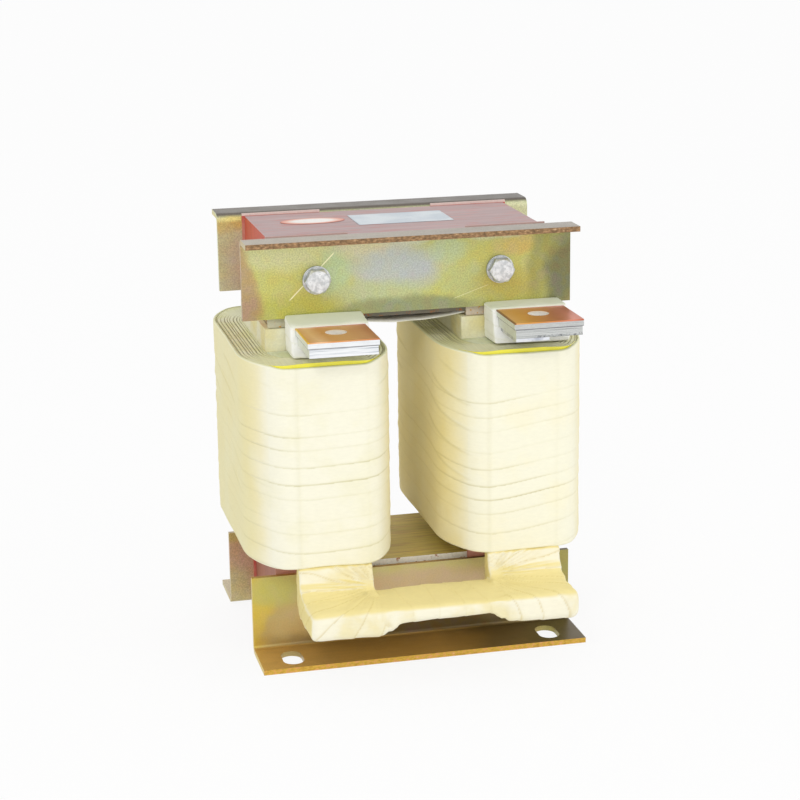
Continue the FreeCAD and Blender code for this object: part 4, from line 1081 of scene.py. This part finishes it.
def sticker(name, centre, half, oval, material):
    """A thin paper or foil sheet on the core, lying a little unevenly."""
    def underside(across, along):
        if oval:
            across, along = across * math.sqrt(1 - along ** 2 / 2), along * math.sqrt(1 - across ** 2 / 2)
        lift = wave(across * 2, along * 2, half[0] * 900) * 0.06 * MM + STICKER_GAP
        return centre[0] + across * half[0], centre[1] + along * half[1], CORE_TOP + lift

    thin_sheet(name, STICKER_GRID, STICKER_THICKNESS, underside, material, "winding")


def label_finish():
    paint = Paint("bare_label", 0.4, 0.2)
    clouds = paint.between(paint.noise(50.0, 3.0), 0.35, 0.65)
    tone = paint.mix(clouds, rgb(212, 220, 224), rgb(194, 204, 212))
    paint.bump(paint.noise(400.0, 3.0), 0.03 * MM, 0.4)
    return paint.finish(paint.shade(tone, paint.noise(900.0, 2.0), 0.9, 1.06))


def oval_finish():
    paint = Paint("bare_oval", 0.5)
    across = paint.past(paint.x, OVAL_CENTRE[0], OVAL_HALF[0])
    along = paint.past(paint.y, OVAL_CENTRE[1], OVAL_HALF[1])
    out = paint.maths("SQRT", paint.squares(across, along))
    tone = paint.ramp(out, (0.0, rgb(246, 244, 240)), (0.58, rgb(242, 238, 232)),
                      (0.84, rgb(232, 180, 160)), (1.0, rgb(210, 126, 108)))
    paint.bump(paint.noise(400.0, 3.0), 0.03 * MM, 0.4)
    return paint.finish(paint.shade(tone, paint.noise(500.0, 3.0), 0.9, 1.08))


def window_sheet(material):
    """A thin sheet of insulating paper under the upper yoke, bowed down in the middle."""
    yoke_low, yoke_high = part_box("upper_yoke")
    middle = (yoke_low + yoke_high) / 2

    def underside(across, along):
        y = middle.y + along * (yoke_high.y - middle.y)
        bow = 1 - across ** 2
        sag = SAG_DROP * bow * (1 - 0.16 * bow * across) + wave(across * 3, y * 20, 1.0, 5.0) * 0.3 * MM
        return across * SAG_HALF, y, yoke_low.z - CLEARANCE - max(sag, 0.0) - SAG_THICKNESS

    thin_sheet("window_sheet", SAG_GRID, SAG_THICKNESS, underside, material, "former_paper")


sticker("bare_label", LABEL_CENTRE, LABEL_HALF, False, label_finish())
sticker("bare_oval", OVAL_CENTRE, OVAL_HALF, True, oval_finish())
window_sheet(board("window_paper", rgb(246, 246, 240), rgb(228, 226, 210), 60.0))


# Stage, light and camera

FLOOR_HALF = 6.0
FLOOR_WHITE = 0.88
WORLD_LIGHT = 0.86
# Lamps: name, place, size across and watts
LAMPS = (("key", (-0.85, -1.55, 1.5), 0.35, 5.2),
         ("front", (-0.35, -1.7, 0.7), 0.8, 1.3),
         ("fill", (1.5, -1.3, 0.9), 1.2, 4.5))
LAMP_TARGET = Vector((0.0, 0.0, 0.12))


def seen_share(nodes):
    """1 for rays that show the background: straight from the camera, in a reflection or through glass."""
    path = nodes.node("LightPath").outputs
    indirect = nodes.maths("MAXIMUM", path["Is Glossy Ray"], path["Is Transmission Ray"])
    return nodes.maths("MAXIMUM", path["Is Camera Ray"], indirect)


def stage_floor():
    mesh = bmesh.new()
    bmesh.ops.create_grid(mesh, x_segments=1, y_segments=1, size=FLOOR_HALF)
    floor = to_object("floor", to_data(mesh, "floor"))
    floor.location.z = cad_bounds[0][2] - 0.05 * MM
    paint = Paint("floor_white", 0.9)
    floor.data.materials.append(paint.finish((0.9, 0.9, 0.9, 1.0)))
    shares = {0: paint.times(seen_share(paint), FLOOR_WHITE), 1: paint.shader.outputs[0],
              2: paint.node("Emission").outputs[0]}
    seen = paint.node("MixShader", shares).outputs[0]
    paint.feed(paint.tree.nodes["Material Output"].inputs["Surface"], seen)


def world_light():
    world = bpy.data.worlds.new("studio")
    bpy.context.scene.world = world
    world.use_nodes = True
    nodes = Nodes(world.node_tree)
    background = nodes.tree.nodes["Background"]
    background.inputs["Color"].default_value = (1.0, 1.0, 1.0, 1.0)
    level = nodes.node("MapRange", {"Value": seen_share(nodes), "To Min": WORLD_LIGHT, "To Max": 1.0})
    nodes.feed(background.inputs["Strength"], level.outputs[0])


def lamp(name, place, size, watts):
    data = bpy.data.lights.new(name, "AREA")
    data.shape = "DISK"
    data.size = size
    data.energy = watts
    light = to_object(name, data)
    light.location = place
    light.rotation_euler = (LAMP_TARGET - Vector(place)).to_track_quat("-Z", "Y").to_euler()


def camera():
    data = bpy.data.cameras.new("camera")
    data.sensor_width = CAMERA_SENSOR
    data.lens = CAMERA_LENS
    data.clip_end = 50.0
    view = to_object("camera", data)
    turn = Matrix.Rotation(-CAMERA_YAW, 3, "Z") @ Matrix.Rotation(math.pi / 2 - CAMERA_PITCH, 3, "X")
    turn = turn @ Matrix.Rotation(CAMERA_ROLL, 3, "Z")
    view.matrix_world = Matrix.Translation(CAMERA_PLACE) @ turn.to_4x4()
    bpy.context.scene.camera = view


stage_floor()
world_light()
for lamp_row in LAMPS:
    lamp(*lamp_row)
camera()
bpy.context.scene.view_settings.view_transform = "Standard"
